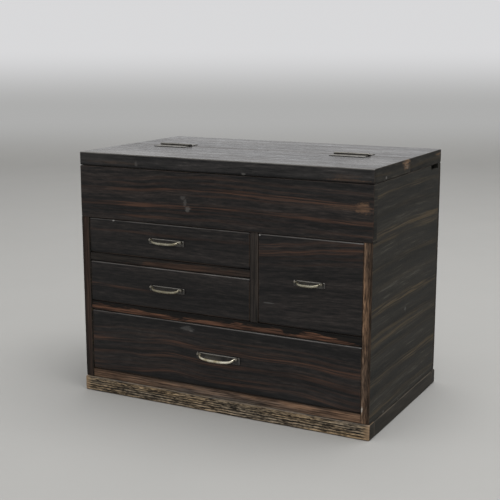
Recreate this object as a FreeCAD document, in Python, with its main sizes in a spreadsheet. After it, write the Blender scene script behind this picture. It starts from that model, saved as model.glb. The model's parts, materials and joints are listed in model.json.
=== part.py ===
import FreeCAD, Part
import os
import re
import Sketcher

# A small Japanese sewing chest: a nailed case of dark striped boards with a folding half lid over a
# top compartment, four drawers and a ruler slot.  Millimetres, +Z up, +X to the right of someone
# facing the drawers, the drawers facing -Y.  The origin is on the ground under the middle of the
# whole outline, pulls included.

Vector = FreeCAD.Vector
doc = FreeCAD.newDocument("sewing_chest")

# ---------------------------------------------------------------- driving sizes
sizeList = [
    # case
    ("case_width", 364.0), ("case_depth", 218.0), ("case_centre_y", 4.45), ("side_thick", 10.0),
    ("back_thick", 5.5), ("board_arris", 0.6), ("inner_arris", 0.3), ("housing_depth", 3.0),
    # plinth
    ("plinth_height", 17.6), ("plinth_overhang", 1.3), ("plinth_thick", 14.0),
    ("plinth_corner", 3.0), ("plinth_arris", 1.2),
    # heights of rails and openings, from the bottom board up
    ("bottom_thick", 10.4), ("bottom_opening", 73.6), ("mid_rail_thick", 10.4),
    ("lower_opening", 49.0), ("left_rail_thick", 9.4), ("upper_opening", 41.9),
    ("panel_height", 60.2), ("panel_thick", 10.0), ("floor_thick", 6.0),
    # rails, shelves and divider
    ("rail_depth", 16.0), ("rail_set_back", 0.7), ("mid_shelf_thick", 8.0),
    ("left_shelf_thick", 7.0), ("divider_thick", 9.8), ("right_opening", 121.9),
    # top
    ("top_thick", 15.8), ("lid_depth", 109.0), ("lid_gap", 0.45), ("seam_gap", 0.6),
    # ruler slot
    ("slot_width", 25.5), ("slot_height", 5.3), ("slot_from_back", 5.0),
    ("channel_wall", 5.5), ("channel_floor", 5.7),
    # pegs that hold the back
    ("peg_radius", 1.25), ("peg_length", 14.0), ("peg_inset", 12.0), ("peg_clear", 0.03),
    # drawers
    ("front_thick", 11.0), ("front_set_back", 1.0), ("front_arris", 0.8), ("front_lap", 5.0),
    ("drawer_side_gap", 0.4), ("drawer_top_gap", 0.9), ("drawer_under_gap", 0.4),
    ("drawer_end_gap", 0.5), ("drawer_side_thick", 6.0), ("drawer_back_thick", 6.0),
    ("drawer_back_drop", 5.0), ("drawer_bottom_thick", 4.0),
    # hinges
    ("hinge_length", 41.0), ("hinge_rise", 0.3), ("barrel_radius", 1.9), ("barrel_room", 0.3),
    ("knuckle_gap", 0.25), ("leaf_thick", 1.2), ("leaf_rise", 0.6), ("leaf_width", 17.0),
    ("leaf_clear", 0.5),
    ("pin_radius", 0.9), ("pin_clear", 0.05), ("pin_head_radius", 1.4), ("pin_head_length", 1.3),
    ("left_hinge_inset", 64.0), ("right_hinge_inset", 69.0),
    ("screw_spacing", 13.0), ("screw_offset", 9.7), ("screw_head_radius", 2.1),
    ("screw_radius", 1.1), ("screw_length", 9.0), ("screw_slot", 0.5), ("screw_clear", 0.03),
    # drawer pulls
    ("plate_thick", 1.2), ("plate_corner", 1.2), ("plate_arris", 0.35), ("plate_overhang", 3.0),
    ("post_radius", 1.5), ("post_reach", 5.0), ("post_dome", 0.9), ("shank_radius", 1.2),
    ("shank_clear", 0.03), ("nut_radius", 3.0), ("nut_thick", 1.8),
    ("pivot_reach", 3.2), ("pivot_below_top", 1.2), ("bail_clear", 0.3),
    ("trunnion_radius", 0.95), ("trunnion_clear", 0.05), ("trunnion_length", 3.2),
    ("arm_width", 2.6), ("bail_thick", 3.0), ("bail_round", 1.2), ("eye_rise", 1.4),
    ("eye_corner", 0.9), ("bail_corner", 4.8), ("bail_inner_corner", 3.4),
    ("small_pitch", 30.5), ("small_plate", 6.2), ("small_arm", 5.4), ("small_bar", 3.2),
    ("mid_pitch", 40.0), ("mid_plate", 6.4), ("mid_arm", 5.8), ("mid_bar", 3.4),
    ("large_pitch", 49.0), ("large_plate", 7.8), ("large_arm", 7.1), ("large_bar", 3.8),
    ("bar_bow", 1.8),
    ("upper_left_swing", 64.0), ("lower_left_swing", 60.0), ("right_swing", 66.0),
    ("bottom_swing", 58.0),
]

sheet = doc.addObject("Spreadsheet::Sheet", "sizes")
for row, (alias, value) in enumerate(sizeList, 1):
    sheet.set(f"A{row}", str(value))
    sheet.setAlias(f"A{row}", alias)
doc.recompute()

# ---------------------------------------------------------------- derived places, as expressions
front = "(case_centre_y - case_depth / 2)"
back = "(case_centre_y + case_depth / 2)"
half = "(case_width / 2)"
leftIn = "(side_thick - case_width / 2)"
rightIn = "(case_width / 2 - side_thick)"
backIn = f"({back} - back_thick)"
bottomTop = "(plinth_height + bottom_thick)"
midLow = f"({bottomTop} + bottom_opening)"
midTop = f"({midLow} + mid_rail_thick)"
leftLow = f"({midTop} + lower_opening)"
leftTop = f"({leftLow} + left_rail_thick)"
panelFoot = f"({leftTop} + upper_opening)"
caseTop = f"({panelFoot} + panel_height)"
topFace = f"({caseTop} + top_thick)"
dividerRight = f"({rightIn} - right_opening)"
dividerLeft = f"({dividerRight} - divider_thick)"
seam = f"({front} + lid_depth)"
railFront = f"({front} + rail_set_back)"
railBack = f"({railFront} + rail_depth)"
channelFront = f"({backIn} - slot_from_back - slot_width - channel_wall)"
slotFront = f"({backIn} - slot_from_back - slot_width)"
slotBack = f"({backIn} - slot_from_back)"
slotLow = f"({caseTop} - slot_height)"
drawerFace = f"({front} + front_set_back)"
leafTop = f"({topFace} + leaf_rise)"
hingeAxisZ = f"({leafTop} + hinge_rise)"
knuckleRoom = "(barrel_radius + barrel_room)"
past = "1"  # how far a cut runs out past the face it leaves by, in millimetres


def bound(text):
    """Points every alias in an expression at the sheet."""
    return re.sub(r"\b([a-z]+(?:_[a-z]+)+)\b", r"sizes.\1", text)


def bind(thing, prop, text):
    thing.setExpression(prop, bound(text))


# ---------------------------------------------------------------- building blocks
alongZ = FreeCAD.Rotation(Vector(0, 0, 1), 0)
alongX = FreeCAD.Rotation(Vector(0, 1, 0), 90)
alongY = FreeCAD.Rotation(Vector(1, 0, 0), -90)
pieces = []
near = 0.01  # how close two places count as one when an edge is looked up


def newBody(name, corner):
    """A piece of its own, whose local origin lies at the corner (x, y, z)."""
    body = doc.addObject("PartDesign::Body", name)
    body.Label = name
    for axis, text in zip("xyz", corner):
        bind(body, f"Placement.Base.{axis}", text)
    body.addProperty("App::PropertyStringList", "Corner")
    body.Corner = list(corner)
    pieces.append(body)
    return body


def newSketch(body, role):
    sketch = body.newObject("Sketcher::SketchObject", body.Name + "_sketch")
    plane = [o for o in body.Origin.OriginFeatures if o.Role == role][0]
    sketch.AttachmentSupport = [(plane, "")]
    sketch.MapMode = "FlatFace"
    return sketch


def size(sketch, kind, first, firstPoint, second, secondPoint, name, text):
    """A named dimension of a sketch, bound to an expression."""
    index = sketch.addConstraint(
        Sketcher.Constraint(kind, first, firstPoint, second, secondPoint, 1.0))
    sketch.renameConstraint(index, name)
    bind(sketch, f"Constraints.{name}", text)


def rectangle(sketch, wide, deep):
    """A rectangle with one corner on the origin."""
    x, y = value(wide), value(deep)
    corners = [Vector(0, 0, 0), Vector(x, 0, 0), Vector(x, y, 0), Vector(0, y, 0)]
    for i in range(4):
        sketch.addGeometry(Part.LineSegment(corners[i], corners[(i + 1) % 4]))
    for i in range(4):
        sketch.addConstraint(Sketcher.Constraint("Coincident", i, 2, (i + 1) % 4, 1))
    for i, kind in enumerate(("Horizontal", "Vertical", "Horizontal", "Vertical")):
        sketch.addConstraint(Sketcher.Constraint(kind, i))
    sketch.addConstraint(Sketcher.Constraint("Coincident", 0, 1, -1, 1))
    size(sketch, "DistanceX", 0, 1, 0, 2, "wide", wide)
    size(sketch, "DistanceY", 1, 1, 1, 2, "deep", deep)


def place(feature, body, spot, turn):
    """Puts a feature of a body at a spot given in the whole part's frame."""
    feature.Placement = FreeCAD.Placement(Vector(0, 0, 0), turn)
    for axis, text, corner in zip("xyz", spot, body.Corner):
        bind(feature, f"Placement.Base.{axis}", f"{text} - {corner}")


def boxFeature(body, kind, low, high):
    feature = body.newObject(f"PartDesign::{kind}Box", f"{body.Name}_{kind}Box".lower())
    place(feature, body, low, alongZ)
    for prop, a, b in zip(("Length", "Width", "Height"), low, high):
        bind(feature, prop, f"{b} - {a}")
    return feature


def rodFeature(body, kind, turn, start, length, radius):
    feature = body.newObject(f"PartDesign::{kind}Cylinder", f"{body.Name}_{kind}Rod".lower())
    place(feature, body, start, turn)
    bind(feature, "Height", length)
    bind(feature, "Radius", radius)
    return feature


def coneFeature(body, kind, start, length, startRadius, endRadius):
    feature = body.newObject(f"PartDesign::{kind}Cone", f"{body.Name}_{kind}Cone".lower())
    place(feature, body, start, alongZ)
    bind(feature, "Height", length)
    bind(feature, "Radius1", startRadius)
    bind(feature, "Radius2", endRadius)
    return feature


def roundEdges(body, radius, edges=None):
    """Rounds the named edges of the body so far, or all of them."""
    base = body.Tip
    feature = body.newObject("PartDesign::Fillet", body.Name + "_arris")
    feature.Base = (base, edges or [""])
    feature.UseAllEdges = edges is None
    bind(feature, "Radius", radius)
    return feature


def board(name, x, y, z, arris=None):
    """A plain board between low and high limits, with all its arrises eased."""
    body = newBody(name, (x[0], y[0], z[0]))
    sketch = newSketch(body, "XY_Plane")
    rectangle(sketch, f"{x[1]} - {x[0]}", f"{y[1]} - {y[0]}")
    pad = body.newObject("PartDesign::Pad", name + "_pad")
    pad.Profile = sketch
    bind(pad, "Length", f"{z[1]} - {z[0]}")
    if arris:
        roundEdges(body, arris)
    return body


def cut(body, x, y, z):
    return boxFeature(body, "Subtractive", (x[0], y[0], z[0]), (x[1], y[1], z[1]))


def straightEdges(body, test):
    """Names of the straight edges whose two ends both pass a test."""
    doc.recompute()
    names = []
    for i, edge in enumerate(body.Tip.Shape.Edges, 1):
        ends = [v.Point for v in edge.Vertexes]
        if isinstance(edge.Curve, Part.Line) and all(test(p) for p in ends):
            names.append(f"Edge{i}")
    return names


def faceLoop(body, y):
    """Names of the edges that bound the flat faces lying at a height along Y."""
    doc.recompute()
    names = []
    for i, edge in enumerate(body.Tip.Shape.Edges, 1):
        first, last = edge.FirstParameter, edge.LastParameter
        samples = [edge.valueAt(first + (last - first) * k / 4) for k in range(5)]
        if all(abs(p.y - y) < near for p in samples):
            names.append(f"Edge{i}")
    return names


def value(text):
    """The number that an expression stands for at the sizes in the sheet."""
    return float(sheet.evalExpression(bound(text)))


# ---------------------------------------------------------------- case
caseY = (front, backIn)
caseZ = ("plinth_height", caseTop)
pegCount = 6
pegHeights = [
    f"(plinth_height + peg_inset + {i} * ({caseTop} - plinth_height - 2 * peg_inset) / {pegCount - 1})"
    for i in range(pegCount)]
pegXs = [f"(side_thick / 2 - {half})", f"({half} - side_thick / 2)"]
pegStart = f"({back} - peg_length)"


def housing(body, x, z, start):
    """A groove across a side for the end of a shelf."""
    cut(body, x, (start, f"({backIn} + {past})"), z)


def caseSide(name, x, inner):
    """One side board: rebated for the upper front panel and housed for the shelves."""
    side = board(name, x, caseY, caseZ, "board_arris")
    cut(side, (f"({x[0]} - {past})", f"({x[1]} + {past})"),
        (f"({front} - {past})", f"({front} + panel_thick)"),
        (panelFoot, f"({caseTop} + {past})"))
    housing(side, inner, (f"({midTop} - mid_shelf_thick)", midTop), railBack)
    housing(side, inner, (panelFoot, f"({panelFoot} + floor_thick)"), f"({front} + panel_thick)")
    for height in pegHeights:
        middle = f"({x[0]} + side_thick / 2)"
        rodFeature(side, "Subtractive", alongY, (middle, pegStart, height),
                   "peg_length", "peg_radius + peg_clear")
    return side


leftHousing = (f"({leftIn} - housing_depth)", f"({leftIn} + {past})")
rightHousing = (f"({rightIn} - {past})", f"({rightIn} + housing_depth)")
sideLeft = caseSide("side_left", (f"(0 - {half})", leftIn), leftHousing)
housing(sideLeft, leftHousing, (f"({leftTop} - left_shelf_thick)", leftTop), railBack)
sideRight = caseSide("side_right", (rightIn, half), rightHousing)
cut(sideRight, (f"({rightIn} - {past})", f"({half} + {past})"), (slotFront, slotBack),
    (slotLow, f"({caseTop} + {past})"))

backPanel = board("back_panel", (f"(0 - {half})", half), (backIn, back), caseZ, "board_arris")
for x in pegXs:
    for height in pegHeights:
        rodFeature(backPanel, "Subtractive", alongY, (x, pegStart, height),
                   f"peg_length + {past}", "peg_radius + peg_clear")

pegs = newBody("back_pegs", ("0", pegStart, "0"))
for x in pegXs:
    for height in pegHeights:
        rodFeature(pegs, "Additive", alongY, (x, pegStart, height), "peg_length", "peg_radius")

board("bottom_rail", (leftIn, rightIn), (railFront, railBack), ("plinth_height", bottomTop),
      "board_arris")
board("bottom_board", (leftIn, rightIn), (railBack, backIn), ("plinth_height", bottomTop))
board("mid_rail", (leftIn, rightIn), (railFront, railBack), (midLow, midTop), "board_arris")
board("mid_shelf", (leftHousing[0], rightHousing[1]), (railBack, backIn),
      (f"({midTop} - mid_shelf_thick)", midTop))
board("left_rail", (leftIn, dividerLeft), (railFront, railBack), (leftLow, leftTop),
      "board_arris")
board("left_shelf", (leftHousing[0], f"({dividerLeft} + housing_depth)"), (railBack, backIn),
      (f"({leftTop} - left_shelf_thick)", leftTop))
board("divider_front", (dividerLeft, dividerRight), (railFront, railBack), (midTop, panelFoot),
      "board_arris")
divider = board("divider_board", (dividerLeft, dividerRight), (railBack, backIn),
                (midTop, panelFoot))
housing(divider, (f"({dividerLeft} - {past})", f"({dividerLeft} + housing_depth)"),
        (f"({leftTop} - left_shelf_thick)", leftTop), f"({railBack} - {past})")
board("upper_front_panel", (f"(0 - {half})", half), (front, f"({front} + panel_thick)"),
      (panelFoot, caseTop), "board_arris")
board("compartment_floor", (leftHousing[0], rightHousing[1]),
      (f"({front} + panel_thick)", backIn), (panelFoot, f"({panelFoot} + floor_thick)"))

channel = board("ruler_channel", (leftIn, rightIn), (channelFront, backIn),
                (f"({slotLow} - channel_floor)", caseTop), "inner_arris")
cut(channel, (f"({leftIn} - {past})", f"({rightIn} + {past})"), (slotFront, slotBack),
    (slotLow, f"({caseTop} + {past})"))

# ---------------------------------------------------------------- plinth
plinthLeft = f"(0 - {half} - plinth_overhang)"
plinthRight = f"({half} + plinth_overhang)"
plinthFront = f"({front} - plinth_overhang)"
plinthBack = f"({back} + plinth_overhang)"
plinthZ = ("0", "plinth_height")


def plinthEnd(name, y, outerSide):
    """The front or back board of the plinth, with its two outer corners rounded."""
    body = board(name, (plinthLeft, plinthRight), y, plinthZ)
    wide = value(f"{plinthRight} - {plinthLeft}")
    high = value("plinth_height")
    thick = value("plinth_thick")
    outer = 0 if outerSide < 0 else thick
    corners = []
    for x in (0, wide):
        corners += straightEdges(
            body, lambda p, x=x: abs(p.x - x) < near and abs(p.y - outer) < near)
    roundEdges(body, "plinth_corner", corners)
    inner = thick - outer
    doc.recompute()
    loops = []
    for i, edge in enumerate(body.Tip.Shape.Edges, 1):
        points = [edge.valueAt(edge.FirstParameter), edge.valueAt(edge.LastParameter)]
        flat = all(abs(p.z) < near for p in points) or all(abs(p.z - high) < near for p in points)
        onInner = all(abs(p.y - inner) < near for p in points)
        if flat and not onInner:
            loops.append(f"Edge{i}")
    roundEdges(body, "plinth_arris", loops)


plinthEnd("plinth_front", (plinthFront, f"({plinthFront} + plinth_thick)"), -1)
plinthEnd("plinth_back", (f"({plinthBack} - plinth_thick)", plinthBack), 1)
plinthRun = (f"({plinthFront} + plinth_thick)", f"({plinthBack} - plinth_thick)")
board("plinth_left", (plinthLeft, f"({plinthLeft} + plinth_thick)"), plinthRun, plinthZ,
      "plinth_arris")
board("plinth_right", (f"({plinthRight} - plinth_thick)", plinthRight), plinthRun, plinthZ,
      "plinth_arris")

# ---------------------------------------------------------------- top, lid and hinges
hingeXs = {"left": f"(left_hinge_inset - {half})", "right": f"({half} - right_hinge_inset)"}
leafHalf = "(hinge_length / 2)"
screwXs = [f"({step} * screw_spacing)" for step in (-1, 0, 1)]
knuckleCount = 5


def hingeRecesses(body, sign):
    """Lets both hinges into a board; the sign says on which side of the seam the board lies."""
    def reachY(low, high):
        near = f"({seam} + {sign} * ({low}))"
        far = f"({seam} + {sign} * ({high}))"
        return (near, far) if sign > 0 else (far, near)

    for x in hingeXs.values():
        run = "(hinge_length / 2 + pin_head_length + barrel_room)"
        cut(body, (f"({x} - {run})", f"({x} + {run})"), reachY(f"0 - {past}", knuckleRoom),
            (f"({hingeAxisZ} - {knuckleRoom})", f"({topFace} + {past})"))
        cut(body, (f"({x} - {leafHalf} - leaf_clear)", f"({x} + {leafHalf} + leaf_clear)"),
            reachY(f"0 - {past}", "leaf_width + leaf_clear"),
            (f"({leafTop} - leaf_thick)", f"({topFace} + {past})"))
        for step in screwXs:
            rodFeature(body, "Subtractive", alongZ,
                       (f"({x} + {step})", f"({seam} + {sign} * screw_offset)",
                        f"({leafTop} - leaf_thick - screw_length)"),
                       f"screw_length + {past}", "screw_radius + screw_clear")


def hingeLeaf(name, x, sign):
    """One leaf with its own knuckles; the leaf on the case has the outer ones."""
    body = newBody(name, (x, seam, leafTop))
    first = 0 if sign > 0 else 1
    leafZ = (f"({leafTop} - leaf_thick)", leafTop)
    near = f"({seam} + {sign} * {knuckleRoom})"
    far = f"({seam} + {sign} * leaf_width)"
    plateY = (near, far) if sign > 0 else (far, near)
    boxFeature(body, "Additive", (f"({x} - {leafHalf})", plateY[0], leafZ[0]),
               (f"({x} + {leafHalf})", plateY[1], leafZ[1]))
    bridgeY = (seam, near) if sign > 0 else (near, seam)
    for i in range(first, knuckleCount, 2):
        low = f"({x} - {leafHalf} + {i} * hinge_length / {knuckleCount} + knuckle_gap / 2)"
        length = f"(hinge_length / {knuckleCount} - knuckle_gap)"
        boxFeature(body, "Additive", (low, bridgeY[0], leafZ[0]),
                   (f"({low} + {length})", bridgeY[1], leafZ[1]))
        rodFeature(body, "Additive", alongX, (low, seam, hingeAxisZ), length, "barrel_radius")
    rodFeature(body, "Subtractive", alongX, (f"({x} - {leafHalf} - {past})", seam, hingeAxisZ),
               f"hinge_length + 2 * {past}", "pin_radius + pin_clear")
    for step in screwXs:
        spot = (f"({x} + {step})", f"({seam} + {sign} * screw_offset)", leafZ[0])
        coneFeature(body, "Subtractive", spot, "leaf_thick", "screw_radius + screw_clear",
                    "screw_head_radius + screw_clear")


def hingeScrews(name, sign):
    """The countersunk slotted screws of both hinges on one side of the seam."""
    body = newBody(name, ("0", seam, leafTop))
    y = f"({seam} + {sign} * screw_offset)"
    for x in hingeXs.values():
        for step in screwXs:
            at = f"({x} + {step})"
            rodFeature(body, "Additive", alongZ,
                       (at, y, f"({leafTop} - leaf_thick - screw_length)"),
                       "screw_length", "screw_radius")
            coneFeature(body, "Additive", (at, y, f"({leafTop} - leaf_thick)"), "leaf_thick",
                        "screw_radius", "screw_head_radius")
            cut(body, (f"({at} - screw_head_radius - {past})", f"({at} + screw_head_radius + {past})"),
                (f"({y} - screw_slot / 2)", f"({y} + screw_slot / 2)"),
                (f"({leafTop} - screw_slot)", f"({leafTop} + {past})"))


rearTop = board("rear_top_board", (f"(0 - {half})", half), (f"({seam} + seam_gap / 2)", back),
                (caseTop, topFace), "board_arris")
hingeRecesses(rearTop, 1)
lid = board("lid_board", (f"(0 - {half})", half), (front, f"({seam} - seam_gap / 2)"),
            (f"({caseTop} + lid_gap)", topFace), "board_arris")
hingeRecesses(lid, -1)
for side, x in hingeXs.items():
    hingeLeaf(f"hinge_leaf_case_{side}", x, 1)
    hingeLeaf(f"hinge_leaf_lid_{side}", x, -1)
hingeScrews("hinge_screws_case", 1)
hingeScrews("hinge_screws_lid", -1)

hingePins = newBody("hinge_pins", ("0", seam, hingeAxisZ))
for x in hingeXs.values():
    rodFeature(hingePins, "Additive", alongX, (f"({x} - {leafHalf})", seam, hingeAxisZ),
               "hinge_length", "pin_radius")
    for start in (f"({x} - {leafHalf} - pin_head_length)", f"({x} + {leafHalf})"):
        rodFeature(hingePins, "Additive", alongX, (start, seam, hingeAxisZ), "pin_head_length",
                   "pin_head_radius")

# ---------------------------------------------------------------- pulls
def bailSketch(body, reach, arm, bar):
    """The bail's outline seen from the front: two arms joined by a bar that swells at the middle."""
    sketch = newSketch(body, "XZ_Plane")
    outer = value(reach)
    inner = outer - value("arm_width")
    top = value("eye_rise")
    low = -value(arm) + value("bar_bow") - value(bar) / 2
    high = -value(arm) + value(bar) / 2
    deep = low - value("bar_bow")
    points = [Vector(outer, low, 0), Vector(outer, top, 0), Vector(inner, top, 0),
              Vector(inner, high, 0), Vector(-inner, high, 0), Vector(-inner, top, 0),
              Vector(-outer, top, 0), Vector(-outer, low, 0)]
    for a, b in zip(points, points[1:]):
        sketch.addGeometry(Part.LineSegment(a, b))
    last = sketch.addGeometry(
        Part.Arc(points[7], Vector(0, deep, 0), points[0]))
    for i in range(6):
        sketch.addConstraint(Sketcher.Constraint("Coincident", i, 2, i + 1, 1))
    for i in (0, 2, 4, 6):
        sketch.addConstraint(Sketcher.Constraint("Vertical", i))
    for i in (1, 3, 5):
        sketch.addConstraint(Sketcher.Constraint("Horizontal", i))
    sketch.addConstraint(Sketcher.Constraint("Coincident", last, 1, 6, 2))
    sketch.addConstraint(Sketcher.Constraint("Coincident", last, 2, 0, 1))
    sketch.addConstraint(Sketcher.Constraint("Symmetric", 0, 1, 6, 2, -2))
    sketch.addConstraint(Sketcher.Constraint("Symmetric", 2, 1, 4, 2, -2))
    size(sketch, "DistanceX", -1, 1, 0, 1, "outer", reach)
    size(sketch, "DistanceX", -1, 1, 2, 1, "inner", f"{reach} - arm_width")
    size(sketch, "DistanceY", -1, 1, 0, 2, "top", "eye_rise")
    size(sketch, "DistanceY", 3, 1, -1, 1, "high", f"{arm} - {bar} / 2")
    size(sketch, "DistanceY", 0, 1, -1, 1, "low", f"{arm} + {bar} / 2 - bar_bow")
    bow = f"({reach} * {reach} + bar_bow * bar_bow) / (2 * bar_bow)"
    radius = sketch.addConstraint(Sketcher.Constraint("Radius", last, value(bow)))
    sketch.renameConstraint(radius, "bow")
    bind(sketch, "Constraints.bow", bow)
    return sketch


def pull(name, x, z, kind, swing):
    """Backplate, two posts and a bail, at the middle (x, z) of a drawer front."""
    pitch = f"{kind}_pitch"
    tall = f"{kind}_plate"
    plateFront = f"({drawerFace} - plate_thick)"
    left = f"({x} - {pitch} / 2 - plate_overhang)"
    right = f"({x} + {pitch} / 2 + plate_overhang)"
    low = f"({z} - {tall} / 2)"
    high = f"({z} + {tall} / 2)"
    pivotZ = f"({high} - pivot_below_top)"
    pivotY = f"({drawerFace} - pivot_reach)"
    posts = [f"({x} - {pitch} / 2)", f"({x} + {pitch} / 2)"]

    plate = board(f"{name}_pull_plate", (left, right), (plateFront, drawerFace), (low, high))
    wide = value(f"{right} - {left}")
    uprights = []
    for px in (0, wide):
        for pz in (0, value(tall)):
            uprights += straightEdges(
                plate, lambda p, px=px, pz=pz: abs(p.x - px) < near and abs(p.z - pz) < near)
    roundEdges(plate, "plate_corner", uprights)
    roundEdges(plate, "plate_arris", faceLoop(plate, 0))
    for px in posts:
        rodFeature(plate, "Subtractive", alongY, (px, f"({plateFront} - {past})", pivotZ),
                   f"plate_thick + 2 * {past}", "shank_radius + shank_clear")

    pair = newBody(f"{name}_pull_posts", (x, drawerFace, pivotZ))
    for px in posts:
        rodFeature(pair, "Additive", alongY, (px, f"({drawerFace} - post_reach)", pivotZ),
                   "post_reach - plate_thick", "post_radius")
    roundEdges(pair, "post_dome", faceLoop(pair, -value("post_reach")))
    for px in posts:
        rodFeature(pair, "Additive", alongY, (px, plateFront, pivotZ),
                   "plate_thick + front_thick + nut_thick", "shank_radius")
        rodFeature(pair, "Additive", alongY, (px, f"({drawerFace} + front_thick)", pivotZ),
                   "nut_thick", "nut_radius")
    rodFeature(pair, "Subtractive", alongX, (f"({left} - {past})", pivotY, pivotZ),
               f"{pitch} + 2 * plate_overhang + 2 * {past}", "trunnion_radius + trunnion_clear")

    bail = newBody(f"{name}_bail", (x, pivotY, pivotZ))
    bail.Placement = FreeCAD.Placement(Vector(0, 0, 0), FreeCAD.Rotation(Vector(-1, 0, 0), 30))
    bind(bail, "Placement.Rotation.Angle", f"{swing} * 1deg")
    reach = f"({pitch} / 2 - post_radius - bail_clear)"
    sketch = bailSketch(bail, reach, f"{kind}_arm", f"{kind}_bar")
    pad = bail.newObject("PartDesign::Pad", bail.Name + "_pad")
    pad.Profile = sketch
    pad.Midplane = True
    bind(pad, "Length", "bail_thick")
    outer = value(reach)
    inner = outer - value("arm_width")
    low = value(f"bar_bow - {kind}_arm - {kind}_bar / 2")
    high = value(f"{kind}_bar / 2 - {kind}_arm")
    top = value("eye_rise")
    for corners, radius in ((((outer, top), (inner, top)), "eye_corner"),
                            (((outer, low),), "bail_corner"),
                            (((inner, high),), "bail_inner_corner")):
        edges = []
        for px, pz in corners:
            for end in (-px, px):
                edges += straightEdges(
                    bail, lambda p, end=end, pz=pz: abs(p.x - end) < near and abs(p.z - pz) < near)
        roundEdges(bail, radius, edges)
    halfThick = value("bail_thick") / 2
    roundEdges(bail, "bail_round", faceLoop(bail, -halfThick) + faceLoop(bail, halfThick))
    for sign in (-1, 1):
        start = f"({x} + {sign} * ({reach} - arm_width / 2))"
        if sign < 0:
            start = f"({x} - {reach} + arm_width / 2 - trunnion_length)"
        rodFeature(bail, "Additive", alongX, (start, pivotY, pivotZ), "trunnion_length",
                   "trunnion_radius")


# ---------------------------------------------------------------- drawers
def drawer(name, x, z, kind, swing):
    """Front, two sides, back and bottom, and the pull, for the opening between x and z limits."""
    left = f"({x[0]} + drawer_side_gap)"
    right = f"({x[1]} - drawer_side_gap)"
    low = f"({z[0]} + drawer_under_gap)"
    high = f"({z[1]} - drawer_top_gap)"
    lap = f"({drawerFace} + front_lap)"
    frontBack = f"({drawerFace} + front_thick)"
    end = f"({backIn} - drawer_end_gap)"
    floor = f"({low} + drawer_bottom_thick)"
    middle = f"(({left} + {right}) / 2)"
    height = f"(({low} + {high}) / 2)"

    panel = board(f"{name}_front", (left, right), (drawerFace, frontBack), (low, high),
                  "front_arris")
    allZ = (f"({low} - {past})", f"({high} + {past})")
    rebateY = (lap, f"({frontBack} + {past})")
    cut(panel, (f"({left} - {past})", f"({left} + drawer_side_thick)"), rebateY, allZ)
    cut(panel, (f"({right} - drawer_side_thick)", f"({right} + {past})"), rebateY, allZ)
    cut(panel, (f"({left} - {past})", f"({right} + {past})"), rebateY,
        (f"({low} - {past})", floor))
    pivotZ = f"({height} + {kind}_plate / 2 - pivot_below_top)"
    for sign in (-1, 1):
        rodFeature(panel, "Subtractive", alongY,
                   (f"({middle} + {sign} * {kind}_pitch / 2)", f"({drawerFace} - {past})", pivotZ),
                   f"front_thick + 2 * {past}", "shank_radius + shank_clear")

    board(f"{name}_side_left", (left, f"({left} + drawer_side_thick)"), (lap, end), (floor, high),
          "inner_arris")
    board(f"{name}_side_right", (f"({right} - drawer_side_thick)", right), (lap, end),
          (floor, high), "inner_arris")
    board(f"{name}_back", (f"({left} + drawer_side_thick)", f"({right} - drawer_side_thick)"),
          (f"({end} - drawer_back_thick)", end), (floor, f"({high} - drawer_back_drop)"),
          "inner_arris")
    board(f"{name}_bottom", (left, right), (lap, end), (low, floor))
    pull(name, middle, height, kind, swing)


drawer("upper_left", (leftIn, dividerLeft), (leftTop, panelFoot), "mid", "upper_left_swing")
drawer("lower_left", (leftIn, dividerLeft), (midTop, leftLow), "mid", "lower_left_swing")
drawer("right", (dividerRight, rightIn), (midTop, panelFoot), "small", "right_swing")
drawer("bottom", (leftIn, rightIn), (bottomTop, midLow), "large", "bottom_swing")

# ---------------------------------------------------------------- test and write
doc.recompute()
for thing in doc.Objects:
    if "Invalid" in thing.State or "Error" in thing.State:
        raise RuntimeError(f"{thing.Label} failed: {thing.State}")
os.makedirs("parts", exist_ok=True)
for body in pieces:
    shape = body.Shape
    if shape.isNull() or not shape.isValid() or not shape.Solids:
        raise RuntimeError(f"{body.Label} has no valid shape")
    shape.exportStep(f"parts/{body.Label}.step")
whole = Part.makeCompound([body.Shape for body in pieces]).BoundBox
print(f"{len(pieces)} pieces, x {whole.XMin:.2f} to {whole.XMax:.2f}, "
      f"y {whole.YMin:.2f} to {whole.YMax:.2f}, z {whole.ZMin:.2f} to {whole.ZMax:.2f}")
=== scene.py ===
import json
import math

import bmesh
import bpy
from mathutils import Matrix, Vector, noise


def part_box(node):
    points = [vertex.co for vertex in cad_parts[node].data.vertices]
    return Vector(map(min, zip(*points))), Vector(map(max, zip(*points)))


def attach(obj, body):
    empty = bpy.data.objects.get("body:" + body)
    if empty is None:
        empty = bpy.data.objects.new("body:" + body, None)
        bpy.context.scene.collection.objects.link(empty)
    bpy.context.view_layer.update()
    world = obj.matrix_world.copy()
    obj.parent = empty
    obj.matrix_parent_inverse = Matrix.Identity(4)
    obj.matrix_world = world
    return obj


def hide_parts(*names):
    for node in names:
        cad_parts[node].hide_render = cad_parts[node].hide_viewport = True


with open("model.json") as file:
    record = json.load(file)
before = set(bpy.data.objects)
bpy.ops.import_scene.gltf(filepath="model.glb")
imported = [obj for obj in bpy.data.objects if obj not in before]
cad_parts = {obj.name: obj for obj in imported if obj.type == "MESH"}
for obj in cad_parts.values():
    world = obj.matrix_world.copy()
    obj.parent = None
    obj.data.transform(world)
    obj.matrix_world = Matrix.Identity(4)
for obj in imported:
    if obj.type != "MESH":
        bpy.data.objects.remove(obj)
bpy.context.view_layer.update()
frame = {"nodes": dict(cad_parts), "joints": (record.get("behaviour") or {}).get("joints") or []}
nodes = frame["nodes"]
mm = 0.001
print("frame loaded:", len(nodes), "nodes")


# node helpers
def feed(tree, socket, value):
    if isinstance(value, bpy.types.NodeSocket):
        tree.links.new(value, socket)
    else:
        socket.default_value = value


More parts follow.
